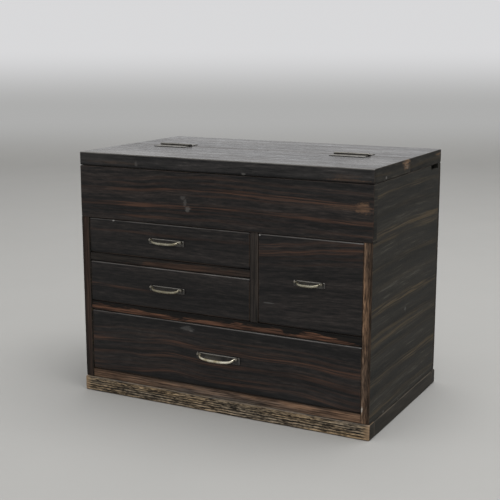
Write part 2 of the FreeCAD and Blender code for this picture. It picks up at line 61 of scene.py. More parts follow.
def startMaterial(name):
    material = bpy.data.materials.new(name)
    material.use_nodes = True
    tree = material.node_tree
    tree.nodes.clear()
    output = tree.nodes.new("ShaderNodeOutputMaterial")
    shader = tree.nodes.new("ShaderNodeBsdfPrincipled")
    tree.links.new(shader.outputs[0], output.inputs[0])
    return material, tree, shader


def calc(tree, operation, a, b=0.0, c=0.0, clamp=False):
    box = tree.nodes.new("ShaderNodeMath")
    box.operation = operation
    box.use_clamp = clamp
    for socket, value in zip(box.inputs, (a, b, c)):
        feed(tree, socket, value)
    return box.outputs[0]


def plus(tree, a, b):
    return calc(tree, "ADD", a, b)


def minus(tree, a, b):
    return calc(tree, "SUBTRACT", a, b)


def times(tree, a, b, clamp=False):
    return calc(tree, "MULTIPLY", a, b, clamp=clamp)


def larger(tree, a, b):
    return calc(tree, "MAXIMUM", a, b)


def sway(tree, grain, reach):
    # a grain value around 0.5 becomes a shift around nothing
    return times(tree, minus(tree, grain, 0.5), reach)


def mixture(tree, *parts):
    # a sum of (value, weight) pairs
    total = 0.0
    for value, weight in parts:
        total = calc(tree, "MULTIPLY_ADD", value, weight, total)
    return total


def remap(tree, value, low, high, newLow=0.0, newHigh=1.0, smooth=False):
    box = tree.nodes.new("ShaderNodeMapRange")
    box.interpolation_type = "SMOOTHSTEP" if smooth else "LINEAR"
    for socket, item in zip(box.inputs, (value, low, high, newLow, newHigh)):
        feed(tree, socket, item)
    return box.outputs[0]


def blend(tree, factor, first, second, mode="MIX"):
    box = tree.nodes.new("ShaderNodeMix")
    box.data_type = "RGBA"
    box.blend_type = mode
    feed(tree, box.inputs[0], factor)
    for socket, colour in ((box.inputs[6], first), (box.inputs[7], second)):
        feed(tree, socket, (*colour, 1.0) if isinstance(colour, tuple) else colour)
    return box.outputs[2]


def ramp(tree, value, stops, soft=True):
    box = tree.nodes.new("ShaderNodeValToRGB")
    band = box.color_ramp
    band.interpolation = "EASE" if soft else "LINEAR"
    band.elements[0].position = stops[0][0]
    band.elements[1].position = stops[-1][0]
    for place, _ in stops[1:-1]:
        band.elements.new(place)
    for element, (_, level) in zip(band.elements, stops):
        element.color = (*level, 1.0) if isinstance(level, tuple) else (level, level, level, 1.0)
    feed(tree, box.inputs[0], value)
    return box.outputs[0]


def handSet(tree, where, low, high, levels, soft=False):
    # levels given at places on a board, the places in millimetres
    stops = [((at * mm - low) / (high - low), level) for at, level in levels]
    return ramp(tree, remap(tree, where, low, high), stops, soft)


def spot(tree, x, y, z):
    box = tree.nodes.new("ShaderNodeCombineXYZ")
    for socket, value in zip(box.inputs, (x, y, z)):
        feed(tree, socket, value)
    return box.outputs[0]


def grainField(tree, place, scale=1.0, detail=2.0, rough=0.5, twist=0.0):
    box = tree.nodes.new("ShaderNodeTexNoise")
    feed(tree, box.inputs["Vector"], place)
    box.inputs["Scale"].default_value = scale
    box.inputs["Detail"].default_value = detail
    box.inputs["Roughness"].default_value = rough
    box.inputs["Distortion"].default_value = twist
    return box.outputs[0]


def grainLayer(tree, u, v, w, layer, seed, depthShare):
    # fibres that run along u
    lengthwise, crosswise, shift, detail, rough = layer
    place = spot(tree, times(tree, u, lengthwise), times(tree, v, crosswise),
                 calc(tree, "MULTIPLY_ADD", w, crosswise * depthShare, seed + shift))
    return grainField(tree, place, 1.0, detail, rough)


def axes(tree, kind="Object"):
    source = tree.nodes.new("ShaderNodeTexCoord")
    parts = tree.nodes.new("ShaderNodeSeparateXYZ")
    tree.links.new(source.outputs[kind], parts.inputs[0])
    return list(parts.outputs)


def bumpNormal(tree, height, distance, strength=1.0):
    box = tree.nodes.new("ShaderNodeBump")
    box.inputs["Strength"].default_value = strength
    box.inputs["Distance"].default_value = distance
    feed(tree, box.inputs["Height"], height)
    return box.outputs[0]


# marks and wear that both kinds of dark wood use
def edgeDistance(tree, place, low, high):
    # distance to the nearest arris of a box, for a point on its surface
    gaps = []
    for axis in range(3):
        middle = (low[axis] + high[axis]) / 2
        reach = (high[axis] - low[axis]) / 2
        gaps.append(minus(tree, reach, calc(tree, "ABSOLUTE", minus(tree, place[axis], middle))))
    a, b, c = gaps
    small = calc(tree, "MINIMUM", a, b)
    return larger(tree, small, calc(tree, "MINIMUM", larger(tree, a, b), c))


def rubArris(tree, place, low, high, bites, use, wornLevel, colour):
    # bare wood shows where hands and cloths have rubbed the arrises
    width = remap(tree, bites, 0.3, 0.7, *use["wornWidth"])
    near = calc(tree, "DIVIDE", edgeDistance(tree, place, low, high), width)
    rub = times(tree, remap(tree, near, use["wornStart"], 1.3, 1.0, 0.0), wornLevel, clamp=True)
    return blend(tree, rub, colour, use["worn"])


def arrisHighlight(tree, place, low, high, wide, strength):
    # a pale line on the upper front arris of a board: painted highlight where the rounded arris catches the
    # light from above, with some wear
    top = remap(tree, minus(tree, high[2], place[2]), 0.55 * wide, 1.15 * wide, 1.0, 0.0)
    front = remap(tree, place[1], low[1] + 0.7 * wide, low[1] + 2.0 * wide, 1.0, 0.0)
    return times(tree, times(tree, top, front), strength)


def markMask(tree, u, v, marks, ragged):
    # a soft ragged patch for each (u, v, half length, half height, level)
    total = 0.0
    for centreU, centreV, halfU, halfV, level in marks:
        du = calc(tree, "DIVIDE", minus(tree, u, centreU * mm), halfU * mm)
        dv = calc(tree, "DIVIDE", minus(tree, v, centreV * mm), halfV * mm)
        away = calc(tree, "POWER", plus(tree, times(tree, du, du), times(tree, dv, dv)), 0.5)
        patch = remap(tree, plus(tree, away, ragged), 0.45, 1.15, level, 0.0, smooth=True)
        total = larger(tree, patch, total)
    return total


# striped wood
stripedWood = {
    "ground": (0.0116, 0.0106, 0.0106),
    "dark": (0.0049, 0.0048, 0.0050),
    "brown": (0.0250, 0.0200, 0.0180),
    "streak": (0.0810, 0.0405, 0.0255),
    "worn": (0.1100, 0.0680, 0.0430),
    "line": (0.1600, 0.1520, 0.1430),
    "lineWidth": 1.3 * mm,
    "gloss": 0.22,
    "roughLow": 0.34,
    "roughHigh": 0.56,
    "wornWidth": (0.135 * mm, 1.53 * mm),
    "wornStart": 0.3,
    "footShadeReach": (0.5 * mm, 2.4 * mm),
    "relief": 0.12 * mm,
    "toneShares": (0.28, 0.26, 0.46),         # of the broad, middle and fine fibres
    "toneSteps": (0.42, 0.49, 0.57, 0.66),    # where dark, ground, brown and light brown stand
    "tornShares": (0.45, 0.55),               # of the middle and fine fibres
    "tornRange": (0.38, 0.58),
    "pitRange": (0.28, 0.42),
    "driftPitch": (9.0, 14.0, 8.0),           # of the stripes' slow drift, along, across and into the board
    "shake": 4.5 * mm,                        # how far a stripe's torn lines stray
    "mostLift": 12.0,                         # the lift in millimetres that a bend can hold
}
# pitch along and across the board, seed, detail and roughness of each layer of fibres
stripedGrain = {
    "broad": (3.0, 80.0, 0.0, 2.0, 0.55),
    "middle": (8.0, 300.0, 3.1, 2.0, 0.55),
    "pores": (120.0, 2600.0, 11.3, 1.0, 0.55),
    "patches": (9.0, 40.0, 21.0, 3.0, 0.55),
    "bites": (16.0, 160.0, 31.0, 3.0, 0.55),
    "lineBreaks": (26.0, 40.0, 41.0, 3.0, 0.55),
    "shakes": (20.0, 200.0, 51.0, 3.0, 0.55),
    "thinLines": (14.0, 620.0, 61.0, 2.0, 0.55),
    "scrapes": (80.0, 600.0, 71.0, 3.0, 0.55),
}


def stripeMask(tree, level, start, end, stripes):
    # soft bands (height, half width, amount); a colour ramp has room for seven of them
    total = 0.0
    room = 7
    leastStep = 0.0005
    for first in range(0, len(stripes), room):
        stops = [(0.0, 0.0)]
        for centre, half, amount in stripes[first:first + room]:
            for reach, part in ((-1.7, 0.0), (-0.6, 1.0), (0.6, 1.0), (1.7, 0.0)):
                at = ((centre + reach * half) * mm - start) / (end - start)
                stops.append((min(max(at, stops[-1][0] + leastStep), 1.0), amount * part))
        stops.append((1.0, 0.0))
        total = plus(tree, ramp(tree, remap(tree, level, start, end), stops), total)
    return total


def tornStripes(tree, fibres, flat, start, end, stripes):
    # each band is a bundle of thin torn lines that comes and goes along the board
    shaken = plus(tree, sway(tree, fibres("shakes"), stripedWood["shake"]), flat)
    mask = stripeMask(tree, shaken, start, end, sorted(stripes))
    patchy = remap(tree, fibres("patches"), 0.38, 0.56, 0.40, 1.0)
    lines = remap(tree, fibres("thinLines"), 0.40, 0.60, 0.05, 1.25)
    return times(tree, mask, times(tree, lines, patchy))


def stripedMaterial(name, low, high, along=0, across=2, stripes=(), bend=(), bendGrow=(1.0, 1.0),
                    tones=None, wornLevel=0.6, seed=0.0, streakGain=1.0, marks=(), scuffs=(), haze=(),
                    calm=(), footShade=0.0, line=0.0, lineRun=(), lean=0.35, fleck=70.0, wavy=5.0 * mm):
    use = dict(stripedWood, **(tones or {}))
    layers = dict(stripedGrain, fine=(fleck, 560.0, 7.7, 3.0, 0.7))
    material, tree, shader = startMaterial(name)
    place = axes(tree)
    depthAxis = 3 - along - across
    u, v, w = place[along], place[across], place[depthAxis]
    # the stripes wander: a slow drift, and a given bend along the board
    driftU, driftV, driftW = use["driftPitch"]
    drift = grainField(tree, spot(tree, times(tree, u, driftU), times(tree, v, driftV),
                                  calc(tree, "MULTIPLY_ADD", w, driftW, seed)))
    flat = minus(tree, v, sway(tree, drift, wavy))
    if bend:
        most = use["mostLift"]
        curve = handSet(tree, u, low[along], high[along],
                        [(at, 0.5 + 0.5 * lift / most) for at, lift in bend], soft=True)
        grow = remap(tree, v, low[across], high[across], *bendGrow)
        flat = minus(tree, flat, times(tree, sway(tree, curve, 2 * most * mm), grow))
    level = calc(tree, "MULTIPLY_ADD", w, lean, flat)

    def fibres(layer):
        return grainLayer(tree, u, level, w, layers[layer], seed, 0.5)

    broad, middle, fine = fibres("broad"), fibres("middle"), fibres("fine")
    tone = mixture(tree, *zip((broad, middle, fine), use["toneShares"]))
    shades = (use["dark"], use["ground"], use["brown"], tuple(2.0 * c for c in use["brown"]))
    stops = [(0.0, use["dark"]), *zip(use["toneSteps"], shades), (1.0, use["brown"])]
    colour = ramp(tree, tone, stops, soft=False)
    torn = remap(tree, mixture(tree, *zip((middle, fine), use["tornShares"])), *use["tornRange"])
    if stripes:
        mask = tornStripes(tree, fibres, flat, low[across], high[across], stripes)
        if calm:
            quiet = markMask(tree, u, v, calm, sway(tree, middle, 1.5))
            mask = times(tree, mask, minus(tree, 1.0, quiet))
        colour = blend(tree, times(tree, mask, streakGain, clamp=True), colour, use["streak"])
    crumbs = grainField(tree, spot(tree, times(tree, u, 260.0), times(tree, v, 420.0), seed), 1.0, 3.0, 0.65)
    ragged = times(tree, minus(tree, plus(tree, fine, crumbs), 1.0), 1.7)
    if marks:
        scraped = remap(tree, fibres("scrapes"), 0.38, 0.60, 0.40, 1.15)
        rubbed = times(tree, markMask(tree, u, v, marks, ragged), scraped, clamp=True)
        colour = blend(tree, rubbed, colour, use["worn"])
    if footShade:
        # painted shade: darker along the foot of the board, where the gap below it lies in shade
        foot = remap(tree, minus(tree, place[2], low[2]), *use["footShadeReach"], 1.0 - footShade, 1.0, smooth=True)
        colour = blend(tree, 1.0, colour, foot, "MULTIPLY")
    colour = rubArris(tree, place, low, high, fibres("bites"), use, wornLevel, colour)
    # pale hazy patches in the colour of the pale line; on the lid and the rear top board these are a painted
    # reflection of the bright surroundings
    if haze:
        paleHazeShare = times(tree, markMask(tree, u, v, haze, sway(tree, broad, 2.0)),
                      remap(tree, torn, 0.0, 1.0, 0.8, 1.2))
        colour = blend(tree, paleHazeShare, colour, use["line"])
    if line or scuffs:
        pale = markMask(tree, u, v, scuffs, ragged)
        if scuffs and depthAxis == 1:
            # only the front is scuffed, not the upper edge behind it
            pale = times(tree, pale, remap(tree, w, low[1] + 1.0 * mm, low[1] + 2.0 * mm, 1.0, 0.0))
        # painted highlight along the upper front arris, broken along its length
        if line:
            strength = remap(tree, fibres("lineBreaks"), 0.34, 0.56, 0.45, 1.15)
            if lineRun:
                strength = times(tree, strength, handSet(tree, u, low[along], high[along], lineRun))
            highlightStrip = arrisHighlight(tree, place, low, high, use["lineWidth"], strength)
            pale = larger(tree, times(tree, highlightStrip, line), pale)
        colour = blend(tree, pale, colour, use["line"])
    feed(tree, shader.inputs["Base Color"], colour)
    feed(tree, shader.inputs["Roughness"], remap(tree, torn, 0.0, 1.0, use["roughLow"], use["roughHigh"]))
    shader.inputs["Specular IOR Level"].default_value = use["gloss"]
    pits = remap(tree, fibres("pores"), *use["pitRange"])
    relief = mixture(tree, (fine, 0.6), (pits, 0.6))
    feed(tree, shader.inputs["Normal"], bumpNormal(tree, relief, use["relief"], 0.5))
    return material


# board maker
def makePiece(name, shape):
    mesh = bpy.data.meshes.new(name)
    shape.to_mesh(mesh)
    shape.free()
    piece = bpy.data.objects.new(name, mesh)
    bpy.context.scene.collection.objects.link(piece)
    return piece


def gridLines(low, high, arris, cell):
    # close lines round each arris, wide cells between them
    span = high - low
    ring = [share * arris for share in (0.0, 0.3, 0.6, 1.0, 1.6)]
    ring = [r for r in ring if r < span / 2 - 0.2 * arris]
    inner = span - 2 * ring[-1]
    count = max(1, round(inner / cell))
    middle = [ring[-1] + inner * i / count for i in range(1, count)]
    return [low + r for r in ring] + [low + r for r in middle] + [high - r for r in reversed(ring)]


def boardMesh(name, low, high, arris, cell=12 * mm, wear=0.5, cornerWear=0.8, seed=0.0,
              unevenness=0.06 * mm, joined=()):
    lines = [gridLines(low[i], high[i], arris, cell) for i in range(3)]
    last = [len(row) - 1 for row in lines]
    made = {}
    shape = bmesh.new()
    shift = Vector((seed * 1.7, seed * 2.3, seed * 0.9))

    def settle(point):
        gaps = [min(point[i] - low[i], high[i] - point[i]) for i in range(3)]
        far = max(gaps)
        uneven = noise.noise(point * 90.0 + shift) * 0.6 + noise.noise(point * 310.0 + shift) * 0.4
        radius = arris * (1.0 + wear * uneven) * (1.0 + cornerWear * math.exp(-far / (5 * mm)))
        radius = min(radius, 0.45 * min(high[i] - low[i] for i in range(3)))
        # a face that butts against another board keeps its sharp outline
        core = Vector([min(max(point[i], low[i] + (0 if (i, 0) in joined else radius)),
                           high[i] - (0 if (i, 1) in joined else radius)) for i in range(3)])
        out = point - core
        if out.length < 1e-9:
            return point
        away = out.normalized()
        dip = unevenness * (0.5 + 0.5 * noise.noise(point * 28.0 + shift))
        return core + away * (radius - dip)

    def corner(i, j, k):
        key = (i, j, k)
        if key not in made:
            made[key] = shape.verts.new(settle(Vector((lines[0][i], lines[1][j], lines[2][k]))))
        return made[key]

    for axis in range(3):
        one, two = (axis + 1) % 3, (axis + 2) % 3
        for end in (0, last[axis]):
            for a in range(last[one]):
                for b in range(last[two]):
                    ring = []
                    for da, db in ((0, 0), (1, 0), (1, 1), (0, 1)):
                        key = [0, 0, 0]
                        key[axis], key[one], key[two] = end, a + da, b + db
                        ring.append(corner(*key))
                    shape.faces.new(ring if end else ring[::-1])
    return makePiece(name, shape)


def carve(piece, blocks):
    # cuts plain boxes out of a piece
    if not blocks:
        return
    cutter = bmesh.new()
    for low, high in blocks:
        corners = [cutter.verts.new((high[0] if i & 1 else low[0], high[1] if i & 2 else low[1],
                                     high[2] if i & 4 else low[2])) for i in range(8)]
        for ring in ((0, 2, 3, 1), (4, 5, 7, 6), (0, 1, 5, 4), (2, 6, 7, 3), (0, 4, 6, 2), (1, 3, 7, 5)):
            cutter.faces.new([corners[i] for i in ring])
    tool = makePiece("cutter", cutter)
    cut = piece.modifiers.new("cut", "BOOLEAN")
    cut.operation = "DIFFERENCE"
    cut.solver = "EXACT"
    cut.use_self = True
    cut.object = tool
    bpy.context.view_layer.update()
    shaped = piece.evaluated_get(bpy.context.evaluated_depsgraph_get())
    done = bpy.data.meshes.new_from_object(shaped)
    piece.modifiers.clear()
    old = piece.data
    piece.data = done
    bpy.data.meshes.remove(old)
    toolMesh = tool.data
    bpy.data.objects.remove(tool)
    bpy.data.meshes.remove(toolMesh)


def finish(piece, materials, body, node, chooser=None, angle=32):
    mesh = piece.data
    mesh.materials.clear()
    for material in materials:
        mesh.materials.append(material)
    for face in mesh.polygons:
        face.use_smooth = True
        face.material_index = chooser(face) if chooser else 0
    mesh.set_sharp_from_angle(angle=math.radians(angle))
    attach(piece, body)
    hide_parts(node)


def nodeBoard(name, node, body, material, slot="striped_wood", cuts=(), chooser=None, more=(), **shape):
    low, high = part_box(node)
    piece = boardMesh(name, low, high, **shape)
    carve(piece, cuts)
    finish(piece, [material, *more], body, node, chooser)


# worn plain woods
railWood = {
    "cool": (0.0050, 0.0040, 0.0034),
    "coolLight": (0.0150, 0.0115, 0.0090),
    "warm": (0.0420, 0.0190, 0.0115),
    "warmLight": (0.1200, 0.0600, 0.0360),
    "worn": (0.1500, 0.1050, 0.0720),
    "line": (0.1600, 0.1350, 0.1100),
    "lineWidth": 1.2 * mm,
    "gloss": 0.18,
    "roughLow": 0.46,
    "roughHigh": 0.64,
    "wornWidth": (0.12 * mm, 1.3 * mm),
    "wornStart": 0.2,
    "toneShares": (0.55, 0.45),     # of the middle and fine fibres
    "toneMiddle": 0.51,
    "toneSpread": 0.085,
    "patchRange": (0.38, 0.58),
    "borderTear": 13.0 * mm,
    "borderSoft": 0.8 * mm,
    "bareReach": 8 * mm,
    "bareDepth": (1.5 * mm, 4.0 * mm),
}
railGrain = {
    "patch": (9.0, 60.0, 9.0, 3.0, 0.6),
    "borderTears": (48.0, 460.0, 13.0, 3.0, 0.6),
    "bites": (22.0, 90.0, 17.0, 3.0, 0.6),
    "crumbs": (420.0, 420.0, 23.0, 3.0, 0.6),
    "lineBreaks": (26.0, 40.0, 41.0, 3.0, 0.6),
}


def railMaterial(name, low, high, along=0, across=2, border=(), wornLevel=0.5, seed=0.0, tones=None,
                 grainPitch=480.0, line=0.0, relief=0.20 * mm, corners=0.0, bandsAndShade=(), dashes=45.0,
                 contrast=1.0, scuffs=(), bareEnds=0.0, run=()):
    # a dark finish that has rubbed through to warm wood, in patches or below a wavy border
    use = dict(railWood, **(tones or {}))
    layers = dict(railGrain, middle=(dashes / 3, grainPitch, 0.0, 2.0, 0.6),
                  fine=(dashes, grainPitch * 1.7, 5.0, 2.0, 0.6))
    material, tree, shader = startMaterial(name)
    place = axes(tree)
    u, v, w = place[along], place[across], place[3 - along - across]
    lengthwise = (low[along], high[along])
    span = high[across] - low[across]

    def fibres(layer):
        return grainLayer(tree, u, v, w, layers[layer], seed, 0.6)

    fine, patch = fibres("fine"), fibres("patch")
    tone = mixture(tree, *zip((fibres("middle"), fine), use["toneShares"]))
    spread = use["toneSpread"] / contrast
    grain = remap(tree, tone, use["toneMiddle"] - spread, use["toneMiddle"] + spread)
    cool = blend(tree, grain, use["cool"], use["coolLight"])
    warm = blend(tree, grain, use["warm"], use["warmLight"])
    if border:
        heights = [(at, (level * mm - low[across]) / span) for at, level in border]
        height = handSet(tree, u, *lengthwise, heights, soft=True)
        height = calc(tree, "MULTIPLY_ADD", height, span, low[across])
        below = plus(tree, minus(tree, height, v), sway(tree, fibres("borderTears"), use["borderTear"]))
        share = remap(tree, below, -use["borderSoft"], use["borderSoft"], smooth=True)
        share = times(tree, share, remap(tree, patch, 0.38, 0.56, 0.30, 1.0))
    else:
        share = remap(tree, patch, *use["patchRange"])
    fromMiddle = calc(tree, "ABSOLUTE", minus(tree, u, sum(lengthwise) / 2))
    toEnd = minus(tree, (high[along] - low[along]) / 2, fromMiddle)
    if corners:
        # more of the warm wood towards the two ends
        share = larger(tree, share, remap(tree, toEnd, 2 * mm, corners, 1.0, 0.0, smooth=True))
    colour = blend(tree, share, cool, warm)
    if bandsAndShade:
        # darker in some bands across the board than in others: thinner finish and grain, and painted shade
        # along the edges beside the drawer gaps
        wander = plus(tree, sway(tree, patch, 0.10 * span), v)
        colour = blend(tree, 1.0, colour, handSet(tree, wander, low[across], high[across], bandsAndShade), "MULTIPLY")
    if run:
        # and in some stretches of the board
        colour = blend(tree, 1.0, colour, handSet(tree, u, *lengthwise, run), "MULTIPLY")
    if bareEnds:
        # the front of both ends has lost its finish altogether
        reach = plus(tree, sway(tree, fine, use["bareReach"]), toEnd)
        depth = minus(tree, w, low[1])
        bare = times(tree, remap(tree, reach, 0.3 * bareEnds, bareEnds, 0.8, 0.0),
                     remap(tree, depth, *use["bareDepth"], 1.0, 0.0))
        colour = blend(tree, bare, colour, use["bare"])
    colour = rubArris(tree, place, low, high, fibres("bites"), use, wornLevel, colour)
    if scuffs:
        pale = markMask(tree, u, v, scuffs, sway(tree, fibres("crumbs"), 2.0))
        colour = blend(tree, pale, colour, use["line"])
    # painted highlight along the upper front arris
    if line:
        strength = remap(tree, fibres("lineBreaks"), 0.36, 0.62, 0.35, 1.0)
        highlightStrip = arrisHighlight(tree, place, low, high, use["lineWidth"], strength)
        colour = blend(tree, times(tree, highlightStrip, line), colour, use["line"])
    feed(tree, shader.inputs["Base Color"], colour)
    feed(tree, shader.inputs["Roughness"], remap(tree, grain, 0.0, 1.0, use["roughLow"], use["roughHigh"]))
    shader.inputs["Specular IOR Level"].default_value = use["gloss"]
    feed(tree, shader.inputs["Normal"], bumpNormal(tree, tone, relief, 0.6))
    return material


insideGrain = {"growthPitch": 160.0, "growthAlong": 5.0, "finePitch": 900.0, "fineAlong": 18.0, "stain": 13.0,
               "roughLow": 0.54, "roughHigh": 0.72}


def plainWood(name, light, dark, along=0, seed=0.0):
    # unfinished inside wood, with soft growth lines
    material, tree, shader = startMaterial(name)
    place = axes(tree)

    def stretched(pitch, alongPitch, shifts):
        rates = [alongPitch if i == along else pitch for i in range(3)]
        return spot(tree, *[calc(tree, "MULTIPLY_ADD", place[i], rates[i], shifts[i]) for i in range(3)])

    growth = stretched(insideGrain["growthPitch"], insideGrain["growthAlong"], [seed + i for i in range(3)])
    bands = grainField(tree, growth, 1.0, 3.0, 0.55, 0.4)
    fine = stretched(insideGrain["finePitch"], insideGrain["fineAlong"], [seed] * 3)
    fine = grainField(tree, fine, 1.0, 2.0)
    stain = grainField(tree, spot(tree, *place), insideGrain["stain"], 3.0)
    tone = mixture(tree, (bands, 0.7), (fine, 0.3))
    colour = blend(tree, remap(tree, tone, 0.35, 0.65), light, dark)
    colour = blend(tree, remap(tree, stain, 0.45, 0.75, 0.0, 0.35), colour, tuple(0.5 * c for c in dark))
    feed(tree, shader.inputs["Base Color"], colour)
    feed(tree, shader.inputs["Roughness"],
         remap(tree, fine, 0.3, 0.7, insideGrain["roughLow"], insideGrain["roughHigh"]))
    feed(tree, shader.inputs["Normal"], bumpNormal(tree, tone, 0.12 * mm, 0.5))
    return material


# case and lid boards
endTones = {"streak": (0.0480, 0.0370, 0.0240), "ground": (0.0215, 0.0205, 0.0182),
            "dark": (0.0105, 0.0105, 0.0096), "brown": (0.0370, 0.0340, 0.0285),
            "worn": (0.2300, 0.1450, 0.0880), "gloss": 0.06, "roughLow": 0.55, "roughHigh": 0.72}
facing = 0.75    # a face looks along an axis when its normal has more than this of it


def boardEnd(face):
    return 1 if abs(face.normal.x) > facing else 0


def stripedBoard(name, node, body, cuts=(), shape=None, chooser=None, more=(), **look):
    low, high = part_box(node)
    material = stripedMaterial(name + "Wood", low, high, **look)
    nodeBoard(name, node, body, material, cuts=cuts, chooser=chooser, more=more,
              **dict({"arris": 0.7 * mm}, **(shape or {})))


def endMaterial(name, low, high, **look):
    # the short end of a board that runs across the chest
    return stripedMaterial(name, low, high, along=1, across=2, tones=endTones, wornLevel=0.03, **look)


panelLow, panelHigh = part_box("upper_front_panel")
frontFace = panelLow[1]
panelLook = {
    "stripes": [(219, 1.4, 0.50), (226, 1.0, 0.25), (233.2, 2.4, 0.95), (245.5, 1.2, 0.35), (251, 2.4, 0.95),
                (258, 1.2, 0.35), (264.5, 1.4, 0.30)],
    "bend": [(-182, -4.5), (-110, -2.5), (-60, 0.5), (0, 2.5), (90, 0.5), (182, -3.0)],
    "bendGrow": (0.5, 1.2),
    "marks": [(171, 248, 9, 6.5, 0.80), (150, 247, 24, 3, 0.30)],
    "tones": {"worn": (0.175, 0.100, 0.058)},
    "scuffs": [(-43, 243.5, 4.0, 2.6, 0.26), (-40.5, 238, 2.6, 5.0, 0.30), (-37.5, 231.5, 3.6, 3.4, 0.45)],
    "calm": [(-170, 254, 62, 16, 0.85), (-165, 232, 50, 30, 0.7), (110, 222, 60, 6, 0.7)],
    "haze": [(125, 257, 75, 20, 0.030), (165, 243, 24, 16, 0.022)],
    "seed": 1.0,
    "wornLevel": 0.08,
}
panelEnd = endMaterial("panelEndWood", panelLow, panelHigh, seed=14.0)
stripedBoard("upperFrontPanel", "upper_front_panel", "case", shape={"arris": 0.6 * mm, "joined": [(1, 1)]},
             chooser=boardEnd, more=[panelEnd], **panelLook)

# the sides: striped faces, with the plainer front edges showing as stiles
channelLow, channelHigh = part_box("ruler_channel")
rulerSlot = {"low": 267.2 * mm, "front": channelLow[1] + 5.5 * mm, "back": channelHigh[1] - 5.0 * mm}
past = 1.0    # carries a cut well past the outside of a board
sideLook = {
    "stripes": [(27, 2.4, 0.9), (45, 1.6, 0.3), (62, 3.2, 1.0), (90, 2.0, 0.3), (102, 2.4, 0.8),
                (110, 2.0, 0.5), (137, 3.4, 1.0), (160, 2.0, 0.25), (183, 2.0, 0.45), (210, 2.2, 0.6),
                (217, 3.4, 0.9), (240, 2.0, 0.25), (259, 2.2, 0.6)],
    "bend": [(-105, -0.6), (-60, 0.6), (0, 1.0), (50, 0.0), (112, -1.8)],
    "fleck": 26.0,
    "wavy": 4.0 * mm,
    "tones": dict(endTones, streak=(0.0800, 0.0620, 0.0400), dark=(0.0180, 0.0180, 0.0162),
                  ground=(0.0268, 0.0256, 0.0228), brown=(0.0385, 0.0360, 0.0308)),
    "scuffs": [(0, 120, 3.0, 2.6, 0.35), (-63, 19, 2.4, 1.4, 0.7), (-16, 18.6, 2.4, 1.2, 0.6)],
    "seed": 9.0,
    "along": 1,
    "wornLevel": 0.05,
}
stiles = {
    "left": {"seed": 3.0, "wornLevel": 0.2,
             "bandsAndShade": [(-182, 0.42), (-178.6, 0.50), (-177.2, 1.0), (-173.4, 1.0), (-172.4, 0.5), (-172, 0.4)],
             "tones": {"warm": (0.0190, 0.0100, 0.0070), "warmLight": (0.058, 0.034, 0.024),
                       "cool": (0.0110, 0.0070, 0.0054), "coolLight": (0.036, 0.0235, 0.0180),
                       "worn": (0.050, 0.038, 0.029)}},
    "right": {"seed": 5.0, "wornLevel": 0.12, "scuffs": [(33.5, 173.4, 3.2, 0.9, 0.8)],
              "dashes": 130.0,
              "bandsAndShade": [(172.0, 0.62), (173.2, 1.0), (174.2, 0.92), (175.2, 0.72), (177, 0.64), (178.6, 0.46),
                       (180, 0.28), (181.2, 0.18), (182, 0.14)],
              "tones": {"warm": (0.070, 0.0400, 0.0230), "warmLight": (0.360, 0.218, 0.130),
                        "cool": (0.0340, 0.0220, 0.0150), "coolLight": (0.190, 0.128, 0.088),
                        "worn": (0.15, 0.11, 0.078), "line": (0.50, 0.47, 0.42)}},
}


def onFront(face):
    return 1 if face.normal.y < -facing and face.center.y < frontFace + 1.2 * mm else 0


for side in ("left", "right"):
    low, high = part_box("side_" + side)
    left, right = low[0] - past, high[0] + past
    cuts = [(Vector((left, frontFace - past, panelLow[2])), Vector((right, panelHigh[1], past)))]
    if side == "right":
        cuts.append((Vector((left, rulerSlot["front"], rulerSlot["low"])),
                     Vector((right, rulerSlot["back"], past))))
    stile = railMaterial(side + "StileWood", low, high, along=2, across=0, grainPitch=620.0, **stiles[side])
    stripedBoard(side + "Side", "side_" + side, "case", cuts, chooser=onFront, more=[stile], **sideLook)

# the lid and the fixed rear board, both let in for the hinges
lidLow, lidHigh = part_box("lid_board")
rearLow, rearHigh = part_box("rear_top_board")
topFace = rearHigh[2]
seam = (lidHigh[1] + rearLow[1]) / 2
hingeBoxes = [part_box("hinge_leaf_case_" + side) for side in ("left", "right")]
hingeMiddles = [(low[0] + high[0]) / 2 for low, high in hingeBoxes]
hingeHalf = (hingeBoxes[0][1][0] - hingeBoxes[0][0][0]) / 2
letIn = {"leaf": 17.5 * mm, "room": 0.5 * mm, "deep": 0.6 * mm, "barrel": 2.2 * mm, "pinHead": 1.6 * mm,
         "axisAbove": 0.9 * mm, "overSeam": 1.0 * mm, "overTop": 1.0 * mm}


def hingeCuts(sign):
    # a deep bed for the barrel and a shallow one for the leaf, on one side of the seam
    barrelFloor = topFace + letIn["axisAbove"] - letIn["barrel"]
    cuts = []
    for middle in hingeMiddles:
        for run, reach, floor in ((hingeHalf + letIn["pinHead"], letIn["barrel"], barrelFloor),
                                  (hingeHalf + letIn["room"], letIn["leaf"], topFace - letIn["deep"])):
            near, far = sorted((seam - sign * letIn["overSeam"], seam + sign * reach))
            cuts.append((Vector((middle - run, near, floor)),
                         Vector((middle + run, far, topFace + letIn["overTop"]))))
    return cuts


